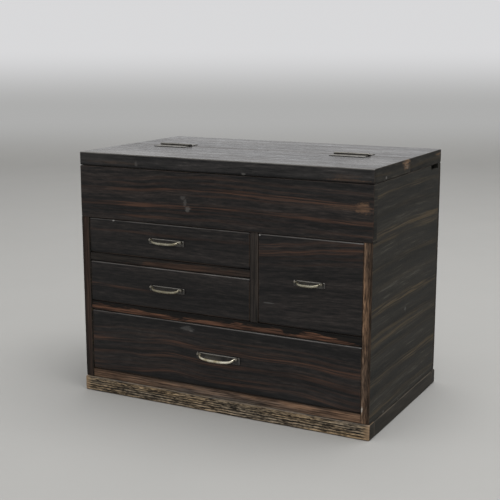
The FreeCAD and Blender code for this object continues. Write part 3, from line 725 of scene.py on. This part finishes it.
topTones = {"gloss": 0.49, "roughLow": 0.11, "roughHigh": 0.38, "ground": (0.0120, 0.0100, 0.0090),
            "brown": (0.0290, 0.0240, 0.0205), "dark": (0.0035, 0.0033, 0.0032)}
# the pale line on the lid's front arris is a painted highlight, and its hazy patches are a painted reflection
# of the bright surroundings
lidLook = {"across": 1, "wornLevel": 0.2, "seed": 4.0, "lean": 0.9, "line": 0.7, "tones": topTones,
           "haze": [(-115, -86, 80, 26, 0.42), (-160, -62, 30, 36, 0.22), (70, -92, 100, 17, 0.16),
                    (158, -50, 32, 34, 0.30), (-60, -58, 70, 26, 0.14)]}
# its hazy patches are a painted reflection of the bright surroundings
rearLook = {"across": 1, "wornLevel": 0.3, "seed": 6.0, "tones": topTones,
            "haze": [(-90, 72, 100, 20, 0.22), (120, 60, 70, 28, 0.20), (0, 100, 170, 12, 0.14)]}
lidEdgeLook = {
    "tones": {"ground": (0.0200, 0.0190, 0.0190), "dark": (0.0100, 0.0098, 0.0100),
              "brown": (0.0330, 0.0300, 0.0290), "worn": (0.120, 0.072, 0.044)},
    # darker along the foot, as painted shade in the gap above the front panel; the pale line along the upper
    # arris is a painted highlight
    "seed": 17.0, "wornLevel": 0.03, "line": 0.9, "footShade": 1.0,
    "marks": [(158, 275.0, 26, 1.9, 0.60), (152, 279, 18, 3.2, 0.22), (-135, 278, 36, 2.2, 0.20)],
    "haze": [(-156, 284, 40, 6, 0.060), (140, 281, 60, 9, 0.035)],
    "scuffs": [(-104, 278, 1.8, 3.6, 0.28), (33, 274.8, 2.6, 1.2, 0.5)],
}
lidEndLook = {"seed": 15.0, "stripes": [(280, 1.2, 0.4)],
              "marks": [(-10, 285.5, 13, 3.4, 0.80), (-8, 280.5, 10, 3.6, 0.62)],
              "scuffs": [(-71, 276, 2.0, 1.6, 0.9), (-7, 280, 2.0, 2.2, 0.5), (-10, 284, 3.0, 1.0, 0.4)]}
lidEnd = endMaterial("lidEndWood", lidLow, lidHigh, **lidEndLook)
lidEdge = stripedMaterial("lidFrontWood", lidLow, lidHigh, **lidEdgeLook)
lidFarEnd = endMaterial("lidFarEndWood", lidLow, lidHigh, seed=19.0,
                        stripes=[(277, 1.4, 0.5), (284, 1.2, 0.3)])
rearEnd = endMaterial("rearEndWood", rearLow, rearHigh, seed=16.0, stripes=[(279, 1.5, 0.5)],
                      marks=[(102, 283.6, 12, 1.8, 0.35)])


def lidSides(face):
    # only the right end is rubbed bare, so the left one has a wood of its own
    if abs(face.normal.x) > facing:
        return 1 if face.normal.x > 0 else 3
    return 2 if face.normal.y < -facing else 0


topShape = {"cell": 9 * mm, "unevenness": 0.05 * mm}
stripedBoard("lidBoard", "lid_board", "lid", hingeCuts(-1), dict(topShape, seed=2.0), chooser=lidSides,
             more=[lidEnd, lidEdge, lidFarEnd], **lidLook)
stripedBoard("rearTopBoard", "rear_top_board", "case", hingeCuts(1), dict(topShape, seed=3.0),
             chooser=boardEnd, more=[rearEnd], **rearLook)
backLook = {"seed": 12.0, "streakGain": 0.5, "wornLevel": 0.12, "tones": endTones,
            "stripes": [(60, 3, 0.6), (118, 2, 0.5), (170, 3, 0.6), (228, 2, 0.5)]}
stripedBoard("backBoard", "back_panel", "case", **backLook)
print("case and lid boards made")

# rails and divider
rails = {
    "middleRail": {
        "node": "mid_rail",
        "look": {"seed": 1.0, "wornLevel": 0.05,
                 "run": [(-172, 0.66), (-110, 0.85), (-50, 1.0), (172, 1.0)],
                 # darker along the top and the foot: painted shade beside the drawer gaps
                 "bandsAndShade": [(101.6, 0.25), (102.4, 0.8), (103.2, 1.0), (109.5, 1.0), (110.6, 0.5), (112, 0.2)],
                 # the dark cool tone is darker still here, as painted shade under the drawers above
                 "tones": {"warm": (0.036, 0.0160, 0.0095), "warmLight": (0.210, 0.100, 0.058),
                           "cool": (0.0040, 0.0034, 0.0030), "coolLight": (0.0130, 0.0100, 0.0080)},
                 "border": [(-172, 108.4), (-115, 108), (-92, 105.5), (-55, 105), (-15, 107), (45, 108.4),
                            (76, 108.4), (84, 104.4), (96, 104.6), (104, 107.6), (136, 107), (146, 105.6),
                            (158, 104.2), (172, 102.8)]}},
    "leftRail": {
        "node": "left_rail",
        "look": {"seed": 2.0, "wornLevel": 0.05,
                 # darker along the top and the foot: painted shade beside the drawer gaps
                 "bandsAndShade": [(161.0, 0.15), (161.8, 0.5), (162.6, 1.0), (168.4, 1.0), (169.4, 0.5),
                          (170.4, 0.15)],
                 "border": [(-172, 161), (-105, 162), (-92, 167), (-40, 168.5), (40, 168.5)],
                 "tones": {"warm": (0.026, 0.0145, 0.0100), "warmLight": (0.070, 0.040, 0.027),
                           "cool": (0.0090, 0.0076, 0.0068), "coolLight": (0.0290, 0.0235, 0.0195)}}},
    "bottomRail": {
        "node": "bottom_rail",
        "look": {"seed": 3.0, "wornLevel": 0.15, "corners": 95 * mm, "dashes": 60.0, "grainPitch": 620.0,
                 "contrast": 0.8,
                 "run": [(-172, 0.62), (-125, 0.72), (-60, 0.84), (-10, 0.88), (30, 1.0), (110, 1.04),
                         (172, 1.0)],
                 # much darker along the top: painted shade in the gap under the bottom drawer
                 "bandsAndShade": [(17.6, 0.8), (19.5, 0.75), (21.5, 1.0), (25.5, 0.9), (27.0, 0.6), (27.6, 0.2),
                          (28, 0.15)],
                 "tones": {"warm": (0.062, 0.0340, 0.0200), "warmLight": (0.330, 0.200, 0.125),
                           "cool": (0.0280, 0.0220, 0.0180), "coolLight": (0.200, 0.160, 0.132)}}},
    "dividerFront": {
        "node": "divider_front",
        "look": {"seed": 7.0, "along": 2, "across": 0,
                 "tones": {"warm": (0.0160, 0.0125, 0.0105), "warmLight": (0.0500, 0.0400, 0.0330),
                           "cool": (0.0110, 0.0095, 0.0085), "coolLight": (0.0360, 0.0300, 0.0260),
                           "worn": (0.060, 0.050, 0.042)}},
        "shape": {"seed": 4.0, "wear": 0.6}},
}
for name, rail in rails.items():
    low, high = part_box(rail["node"])
    wood = railMaterial(name + "Wood", low, high, **rail["look"])
    shape = rail.get("shape", {"seed": rail["look"]["seed"], "wear": 0.7})
    nodeBoard(name, rail["node"], "case", wood, "rail_wood", arris=0.6 * mm, **shape)

# plinth
plinthFrontLook = {
    "tones": {"warm": (0.022, 0.0140, 0.0080), "warmLight": (0.640, 0.455, 0.260),
              "cool": (0.0150, 0.0110, 0.0080), "coolLight": (0.430, 0.345, 0.245),
              "worn": (0.26, 0.18, 0.11), "bare": (0.30, 0.205, 0.125), "line": (0.26, 0.245, 0.225)},
    # weathered ridges and furrows, from the foot upwards
    "bandsAndShade": [(0.0, 0.25), (1.0, 0.25), (1.8, 1.0), (2.9, 1.0), (3.4, 0.25), (4.3, 0.25), (4.8, 1.0),
             (5.8, 1.0), (6.2, 0.15), (7.3, 0.15), (7.8, 1.0), (8.9, 0.95), (9.3, 0.25), (10.2, 0.3),
             (10.7, 0.95), (11.4, 0.75), (11.8, 0.15), (12.7, 0.25), (13.3, 1.0), (14.3, 0.95), (15.0, 0.45),
             (15.8, 0.8), (16.5, 0.3), (17.6, 0.25)],
    "run": [(-183, 1.0), (-172, 0.86), (-50, 0.92), (20, 1.0), (183, 1.0)],
    # the pale line on its upper front arris is a painted highlight
    "grainPitch": 900.0, "dashes": 190.0, "contrast": 1.35, "line": 0.3, "corners": 14 * mm,
    "bareEnds": 7 * mm, "relief": 0.25 * mm, "wornLevel": 0.6,
}
plinthEndLook = {
    "tones": {"warm": (0.0200, 0.0178, 0.0145), "warmLight": (0.0540, 0.0480, 0.0405),
              "cool": (0.0140, 0.0128, 0.0106), "coolLight": (0.0440, 0.0400, 0.0345),
              "worn": (0.12, 0.10, 0.075), "gloss": 0.05},
    "grainPitch": 560.0, "dashes": 60.0, "contrast": 0.7, "wornLevel": 0.6,
}
plinthSideLook = dict(plinthEndLook, relief=0.25 * mm)
plinth = {
    "Front": {"along": 0, "seed": 11.0, "look": plinthFrontLook, "joined": [(1, 1)]},
    "Back": {"along": 0, "seed": 10.0, "look": plinthSideLook, "joined": [(1, 0)]},
    "Left": {"along": 1, "seed": 10.0, "look": plinthSideLook, "joined": [(1, 0), (1, 1)]},
    "Right": {"along": 1, "seed": 11.0, "look": plinthSideLook, "joined": [(1, 0), (1, 1)]},
}
for side, board in plinth.items():
    name, node = "plinth" + side, "plinth_" + side.lower()
    low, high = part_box(node)
    along = board["along"]
    wood = railMaterial(name + "Wood", low, high, along=along, seed=board["seed"], **board["look"])
    ends = {}
    if along == 0:
        endWood = railMaterial(name + "EndWood", low, high, seed=1.0, **plinthEndLook)
        ends = {"chooser": boardEnd, "more": [endWood]}
    nodeBoard(name, node, "case", wood, "plinth_wood", arris=1.3 * mm, cornerWear=1.0, wear=0.3,
              seed=2.0 + along, joined=board["joined"], **ends)
print("rails and plinth made")

# drawers
# each front is darker along its foot, as painted shade in the gap below it; its pale upper arris line is a
# painted highlight
drawerLook = {"wornLevel": 0.3, "footShade": 0.7,
              "tones": {"line": (0.32, 0.31, 0.30), "brown": (0.0228, 0.0192, 0.0178),
                        "dark": (0.0060, 0.0058, 0.0060)}}
drawers = {
    "upperLeft": {"node": "upper_left",
                  "look": {"seed": 21.0, "line": 0.32, "stripes": [(199, 1.5, 0.3)],
                           "lineRun": [(-172, 0.65), (-150, 0.7), (-132, 1.0), (0, 1.0), (27, 0.65),
                                       (40, 0.6)],
                           "scuffs": [(-138, 210.8, 1.8, 1.2, 1.0)]}},
    "lowerLeft": {"node": "lower_left",
                  "look": {"seed": 25.0, "line": 0.50, "stripes": [(133, 1.6, 0.6)],
                           "lineRun": [(-172, 0.7), (-159, 0.7), (-132, 0.5), (-106, 0.4), (-79, 0.85),
                                       (-53, 0.63), (-26, 0.5), (0, 1.0), (40, 1.0)],
                           "calm": [(10, 133, 130, 12, 1.0)]}},
    "right": {"node": "right",
              "look": {"seed": 31.0, "line": 0.74,
                       "lineRun": [(50, 0.85), (60, 0.85), (80, 0.53), (121, 0.55), (142, 0.75), (162, 1.0),
                                   (171, 1.0)],
                       "bend": [(50, -6.5), (90, -2.0), (130, 2.5), (171, 5.0)], "bendGrow": (0.1, 1.1),
                       "stripes": [(184, 1.4, 0.25), (190, 1.2, 0.2), (196.5, 2.6, 0.65), (205, 2.2, 0.55)],
                       "scuffs": [(63, 136, 8.0, 0.8, 0.18), (51.8, 210.4, 1.8, 1.4, 1.0)]}},
    "bottom": {"node": "bottom",
               "look": {"seed": 35.0, "line": 0.60,
                        "lineRun": [(-172, 0.36), (-150, 0.38), (-107, 0.53), (-64, 0.58), (-21, 0.47),
                                    (21, 0.5), (64, 0.7), (107, 0.75), (150, 1.0), (172, 1.0)],
                        "stripes": [(35.5, 2.0, 0.55), (42, 1.9, 0.4), (48, 1.4, 0.25), (55.5, 2.4, 0.6),
                                    (61, 1.3, 0.2), (71, 2.6, 0.7), (77.5, 1.4, 0.3), (84, 1.4, 0.25)],
                        "bend": [(-172, -3.0), (-110, 0.0), (-60, 3.5), (-20, 1.0), (40, 1.5), (90, 2.0),
                                 (172, -3.0)],
                        "bendGrow": (1.6, 0.7),
                        "calm": [(-115, 76, 55, 14, 0.6)],
                        "haze": [(112, 38, 62, 9, 0.016)],
                        "scuffs": [(-40, 94, 9.0, 3.0, 0.14), (-36, 92, 3.0, 1.6, 0.2)]}},
}
for name, drawer in drawers.items():
    node = drawer["node"]
    low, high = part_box(node + "_front")
    bottomLow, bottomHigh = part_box(node + "_bottom")
    sideLow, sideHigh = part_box(node + "_side_left")
    sideThick = sideHigh[0] - sideLow[0]
    # laps for the two sides and for the bottom board, behind the face
    lap = bottomLow[1]
    left, right = low[0] - past, high[0] + past
    cuts = [(Vector((left, lap, -past)), Vector((low[0] + sideThick, past, past))),
            (Vector((high[0] - sideThick, lap, -past)), Vector((right, past, past))),
            (Vector((left, lap, -past)), Vector((right, past, bottomHigh[2])))]
    stripedBoard(name + "Front", node + "_front", node + "_drawer", cuts,
                 {"seed": drawer["look"]["seed"], "arris": 0.8 * mm}, **drawer["look"], **drawerLook)
print("drawer fronts made")

# inside woods, kept as the frame gives them
lightWood = ((0.33, 0.22, 0.125), (0.21, 0.125, 0.065))
darkWood = ((0.055, 0.038, 0.027), (0.026, 0.018, 0.013))
insideAcross = plainWood("insideWoodAcross", *lightWood, along=0, seed=2.0)
insideDeep = plainWood("insideWoodDeep", *lightWood, along=1, seed=5.0)
caseAcross = plainWood("caseInsideAcross", *darkWood, along=0, seed=3.0)
keepNodes = {}
for drawer in drawers.values():
    for part, wood in (("side_left", insideDeep), ("side_right", insideDeep), ("back", insideAcross),
                       ("bottom", insideAcross)):
        keepNodes[f"{drawer['node']}_{part}"] = wood
for node in ("bottom_board", "mid_shelf", "left_shelf", "compartment_floor", "ruler_channel"):
    keepNodes[node] = caseAcross
keepNodes["divider_board"] = plainWood("caseInsideUp", *darkWood, along=2, seed=4.0)
keepNodes["back_pegs"] = plainWood("bambooPegs", (0.30, 0.20, 0.09), (0.20, 0.12, 0.05), along=1)


# metal
metalWear = {"aged": (0.35, 0.65), "speckPitch": 900.0, "scratchAlong": 160.0, "scratchPitch": 2600.0}


def metal(name, bright, dull, roughLow, roughHigh, patch=90.0, metallic=1.0, seed=0.0, rimHighlight=None,
          patinaAndSideShade=None):
    # aged metal: bright where rubbed, with a dull patina in patches and fine scratches
    material, tree, shader = startMaterial(name)
    place = axes(tree)
    shifted = spot(tree, plus(tree, place[0], seed), place[1], place[2])
    cloud = grainField(tree, shifted, patch, 4.0, 0.6)
    specks = grainField(tree, shifted, metalWear["speckPitch"], 3.0, 0.6)
    rates = (metalWear["scratchAlong"], metalWear["scratchPitch"], metalWear["scratchPitch"])
    scratch = grainField(tree, spot(tree, *[times(tree, place[i], rates[i]) for i in range(3)]), 1.0, 2.0)
    aged = remap(tree, plus(tree, sway(tree, specks, 0.35), cloud), *metalWear["aged"])
    colour = blend(tree, aged, bright, dull)
    if rimHighlight:
        # painted highlight: the upper arris of a plate is made bright where it catches the light, and its
        # right end a little
        high, level = rimHighlight
        upper = remap(tree, minus(tree, high[2], place[2]), 0.25 * mm, 0.75 * mm, 0.60, 0.0)
        rightEnd = remap(tree, minus(tree, high[0], place[0]), 0.25 * mm, 0.7 * mm, 0.28, 0.0)
        colour = blend(tree, larger(tree, upper, rightEnd), colour, level)
    if patinaAndSideShade:
        # darker on every face that does not look upwards: patina, and painted shade on the sides and
        # underside
        upward = axes(tree, "Normal")[2]
        colour = blend(tree, remap(tree, upward, 0.45, 0.85, 1.0, 0.0), colour, patinaAndSideShade)
    feed(tree, shader.inputs["Base Color"], colour)
    feed(tree, shader.inputs["Roughness"], remap(tree, aged, 0.0, 1.0, roughLow, roughHigh))
    shader.inputs["Metallic"].default_value = metallic
    feed(tree, shader.inputs["Normal"], bumpNormal(tree, plus(tree, specks, scratch), 0.05 * mm, 0.4))
    return material


smallBailBrass = metal("rubbedBrass", (0.445, 0.420, 0.330), (0.210, 0.185, 0.125), 0.24, 0.40)
largeBailBrass = metal("brightBrass", (0.85, 0.80, 0.66), (0.38, 0.33, 0.21), 0.22, 0.38, seed=0.7)
postBrass = metal("postBrass", (0.33, 0.31, 0.26), (0.15, 0.135, 0.11), 0.30, 0.45)
# hinges are darker on every face that does not look upwards: patina and painted shade
hingeBronze = metal("hingeBronze", (0.34, 0.325, 0.285), (0.16, 0.15, 0.13), 0.30, 0.46, metallic=0.9,
                    patch=60.0, patinaAndSideShade=(0.030, 0.028, 0.026))
screwSteel = metal("screwSteel", (0.20, 0.19, 0.17), (0.09, 0.082, 0.072), 0.34, 0.50, metallic=0.9)

# bails: one rod, bent out at both ends into the posts and swelling towards the middle
bail = {"stub": 0.9 * mm, "stubLength": 3.2 * mm, "bend": 1.4 * mm, "armWide": 1.2 * mm, "armDeep": 1.3 * mm,
        "barDeep": 1.5 * mm, "roundness": 2.8, "sides": 16, "bendSteps": 8, "barSteps": 26,
        "stepGrowth": 0.9, "swell": 0.8}
bailSizes = {
    "upper_left": {"drop": 5.8 * mm, "barWide": 1.7 * mm, "brass": smallBailBrass},
    "lower_left": {"drop": 5.8 * mm, "barWide": 1.7 * mm, "brass": smallBailBrass},
    "right": {"drop": 5.4 * mm, "barWide": 1.6 * mm, "brass": smallBailBrass},
    "bottom": {"drop": 7.1 * mm, "barWide": 1.9 * mm, "brass": largeBailBrass},
}


def between(start, end, share):
    return start + (end - start) * share


def bailPath(halfSpan, drop, barWide):
    # (across, down, half width, half depth) from the left stub's end to the right one's
    stub = bail["stub"]
    reach = halfSpan - bail["stubLength"]
    power = 2 / bail["roundness"]
    start = math.asin((bail["bend"] / drop) ** (1 / power))
    quarter = math.pi / 2
    inner = reach * math.cos(start) ** power
    path = [(-halfSpan, 0.0, stub, stub), (-(halfSpan + inner + bail["bend"]) / 2, 0.0, stub, stub)]
    for i in range(bail["bendSteps"] + 1):
        share = i / bail["bendSteps"]
        turn = quarter * share
        path.append((-(inner + bail["bend"]) + bail["bend"] * math.sin(turn),
                     bail["bend"] * (1 - math.cos(turn)),
                     between(stub, bail["armWide"], share), between(stub, bail["armDeep"], share)))
    for i in range(1, bail["barSteps"] + 1):
        share = (i / bail["barSteps"]) ** bail["stepGrowth"]
        turn = between(start, quarter, share)
        swell = share ** bail["swell"]
        path.append((-reach * math.cos(turn) ** power, drop * math.sin(turn) ** power,
                     between(bail["armWide"], barWide, swell),
                     between(bail["armDeep"], bail["barDeep"], swell)))
    return path + [(-x, d, wide, deep) for x, d, wide, deep in reversed(path[:-1])]


def makeBail(name, node):
    size = bailSizes[node]
    joint = next(j for j in frame["joints"] if j["name"] == node + "_pull_swing")
    pivot = Vector(joint["pos_m"])
    swing = math.radians(-joint["range_deg"][0])
    low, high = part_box(node + "_bail")
    path = bailPath((high[0] - low[0]) / 2, size["drop"], size["barWide"])
    down = Vector((0.0, -math.sin(swing), -math.cos(swing)))
    out = Vector((0.0, math.cos(swing), -math.sin(swing)))
    shape = bmesh.new()
    rings = []
    for i, (x, d, wide, deep) in enumerate(path):
        before, after = path[max(i - 1, 0)], path[min(i + 1, len(path) - 1)]
        along = Vector((after[0] - before[0], after[1] - before[1])).normalized()
        centre = pivot + Vector((x, 0, 0)) + down * d
        side = Vector((-along[1], 0, 0)) + down * along[0]
        ring = []
        for k in range(bail["sides"]):
            turn = 2 * math.pi * k / bail["sides"]
            ring.append(shape.verts.new(centre + side * wide * math.cos(turn) + out * deep * math.sin(turn)))
        rings.append(ring)
    for one, two in zip(rings, rings[1:]):
        for k in range(bail["sides"]):
            n = (k + 1) % bail["sides"]
            shape.faces.new((one[k], one[n], two[n], two[k]))
    shape.faces.new(rings[0][::-1])
    shape.faces.new(rings[-1])
    bmesh.ops.recalc_face_normals(shape, faces=shape.faces[:])
    finish(makePiece(name, shape), [size["brass"]], node + "_pull", node + "_bail", angle=50)


plateLook = {"bright": (0.110, 0.105, 0.096), "dull": (0.045, 0.043, 0.042), "roughLow": 0.30,
             "roughHigh": 0.50, "metallic": 0.9}
# colour of the painted highlight on each plate's upper arris and right end
plateHighlight = (0.52, 0.50, 0.46)
for name, drawer in drawers.items():
    node = drawer["node"]
    plate = node + "_pull_plate"
    makeBail(name + "Bail", node)
    keepNodes[plate] = metal(name + "PlateBronze", rimHighlight=(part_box(plate)[1], plateHighlight), **plateLook)
    keepNodes[node + "_pull_posts"] = postBrass
for node in nodes:
    if node.startswith("hinge_"):
        keepNodes[node] = screwSteel if "screws" in node else hingeBronze
for node, material in keepNodes.items():
    mesh = nodes[node].data
    mesh.materials.clear()
    mesh.materials.append(material)
print("bails made, inside woods and metal finished")

# stage, light and camera
view = {"place": (553.29 * mm, -1082.24 * mm, 416.99 * mm), "yaw": 0.48258, "pitch": 0.20051, "roll": 0.00085,
        "lens": 75.12, "sensor": 36.0, "clip": 0.05}
camera = bpy.data.objects.new("camera", bpy.data.cameras.new("camera"))
camera.location = view["place"]
camera.rotation_euler = (math.pi / 2 - view["pitch"], view["roll"], view["yaw"])
camera.data.lens = view["lens"]
camera.data.sensor_width = view["sensor"]
camera.data.clip_start = view["clip"]
bpy.context.scene.collection.objects.link(camera)
bpy.context.scene.camera = camera

stageLook = {"floor": (0.385, 0.38, 0.366), "mottle": (0.31, 0.31, 0.30), "roughness": 0.75,
             "wall": (0.42, 0.42, 0.415), "wallHigh": (0.69, 0.69, 0.70), "wallRise": (0.16, 0.38),
             "glowRise": (0.0, 0.12), "reach": 14.0, "back": 2.2, "curve": 0.9, "curveSteps": 24,
             "height": 3.2}
skyLook = {"light": (1.0, 1.0, 1.0, 1.0), "strength": 0.72, "rise": (0.0, 0.12)}


def seenOnly(tree):
    # one where the camera sees a surface, also in gloss or through glass, and nought for light
    rays = tree.nodes.new("ShaderNodeLightPath")
    seen = larger(tree, rays.outputs["Is Camera Ray"], rays.outputs["Is Glossy Ray"])
    return larger(tree, seen, rays.outputs["Is Transmission Ray"])


def mixShaders(tree, factor, first, second, output):
    mix = tree.nodes.new("ShaderNodeMixShader")
    feed(tree, mix.inputs[0], factor)
    tree.links.new(first.outputs[0], mix.inputs[1])
    tree.links.new(second.outputs[0], mix.inputs[2])
    tree.links.new(mix.outputs[0], output.inputs["Surface"])


def wallColour(tree, height, rise):
    return blend(tree, remap(tree, height, *rise, smooth=True), stageLook["wall"], stageLook["wallHigh"])


def buildStage():
    # a floor that curves up into a wall behind the chest, square to the view
    across = Vector((math.cos(view["yaw"]), math.sin(view["yaw"]), 0.0))
    depth = Vector((-math.sin(view["yaw"]), math.cos(view["yaw"]), 0.0))
    curve = stageLook["curve"]
    profile = [(-stageLook["reach"], 0.0)]
    for i in range(stageLook["curveSteps"] + 1):
        turn = math.pi / 2 * i / stageLook["curveSteps"]
        profile.append((stageLook["back"] + curve * math.sin(turn), curve * (1 - math.cos(turn))))
    profile.append((stageLook["back"] + curve, stageLook["height"]))
    points = [depth * run + across * side + Vector((0, 0, rise))
              for run, rise in profile for side in (-stageLook["reach"], stageLook["reach"])]
    faces = [(2 * i, 2 * i + 1, 2 * i + 3, 2 * i + 2) for i in range(len(profile) - 1)]
    mesh = bpy.data.meshes.new("sweep")
    mesh.from_pydata(points, [], faces)
    for face in mesh.polygons:
        face.use_smooth = True
    sweep = bpy.data.objects.new("sweep", mesh)
    bpy.context.scene.collection.objects.link(sweep)
    material, tree, shader = startMaterial("palePlaster")
    place = axes(tree)
    mottle = grainField(tree, spot(tree, *place), 7.0, 5.0, 0.6)
    colour = blend(tree, remap(tree, mottle, 0.3, 0.7, 0.0, 0.14), stageLook["floor"], stageLook["mottle"])
    feed(tree, shader.inputs["Base Color"], colour)
    shader.inputs["Roughness"].default_value = stageLook["roughness"]
    # the raised part keeps an even pale tone, whatever light falls on it
    glow = tree.nodes.new("ShaderNodeEmission")
    feed(tree, glow.inputs["Color"], wallColour(tree, place[2], stageLook["wallRise"]))
    raised = remap(tree, place[2], *stageLook["glowRise"], smooth=True)
    output = next(node for node in tree.nodes if node.type == "OUTPUT_MATERIAL")
    mixShaders(tree, times(tree, seenOnly(tree), raised), shader, glow, output)
    mesh.materials.append(material)


def buildSky():
    world = bpy.data.worlds.new("softLight")
    bpy.context.scene.world = world
    world.use_nodes = True
    tree = world.node_tree
    light = tree.nodes["Background"]
    light.inputs["Color"].default_value = skyLook["light"]
    light.inputs["Strength"].default_value = skyLook["strength"]
    # what is seen beyond the floor is as pale as the raised part behind the chest
    haze = tree.nodes.new("ShaderNodeBackground")
    feed(tree, haze.inputs["Color"], wallColour(tree, axes(tree, "Generated")[2], skyLook["rise"]))
    mixShaders(tree, seenOnly(tree), light, haze, tree.nodes["World Output"])


lamp = {"place": (0.45, 0.05, 2.3), "aim": (0, 0, 0.1), "size": (2.2, 2.0), "power": 45.0}


def softLamp():
    data = bpy.data.lights.new("overhead", "AREA")
    data.shape = "RECTANGLE"
    data.size, data.size_y = lamp["size"]
    data.energy = lamp["power"]
    overhead = bpy.data.objects.new("overhead", data)
    overhead.location = lamp["place"]
    towards = Vector(lamp["aim"]) - Vector(lamp["place"])
    overhead.rotation_euler = towards.to_track_quat("-Z", "Y").to_euler()
    bpy.context.scene.collection.objects.link(overhead)


buildStage()
buildSky()
softLamp()
bpy.context.scene.view_settings.view_transform = "Standard"
print("stage, light and camera set")
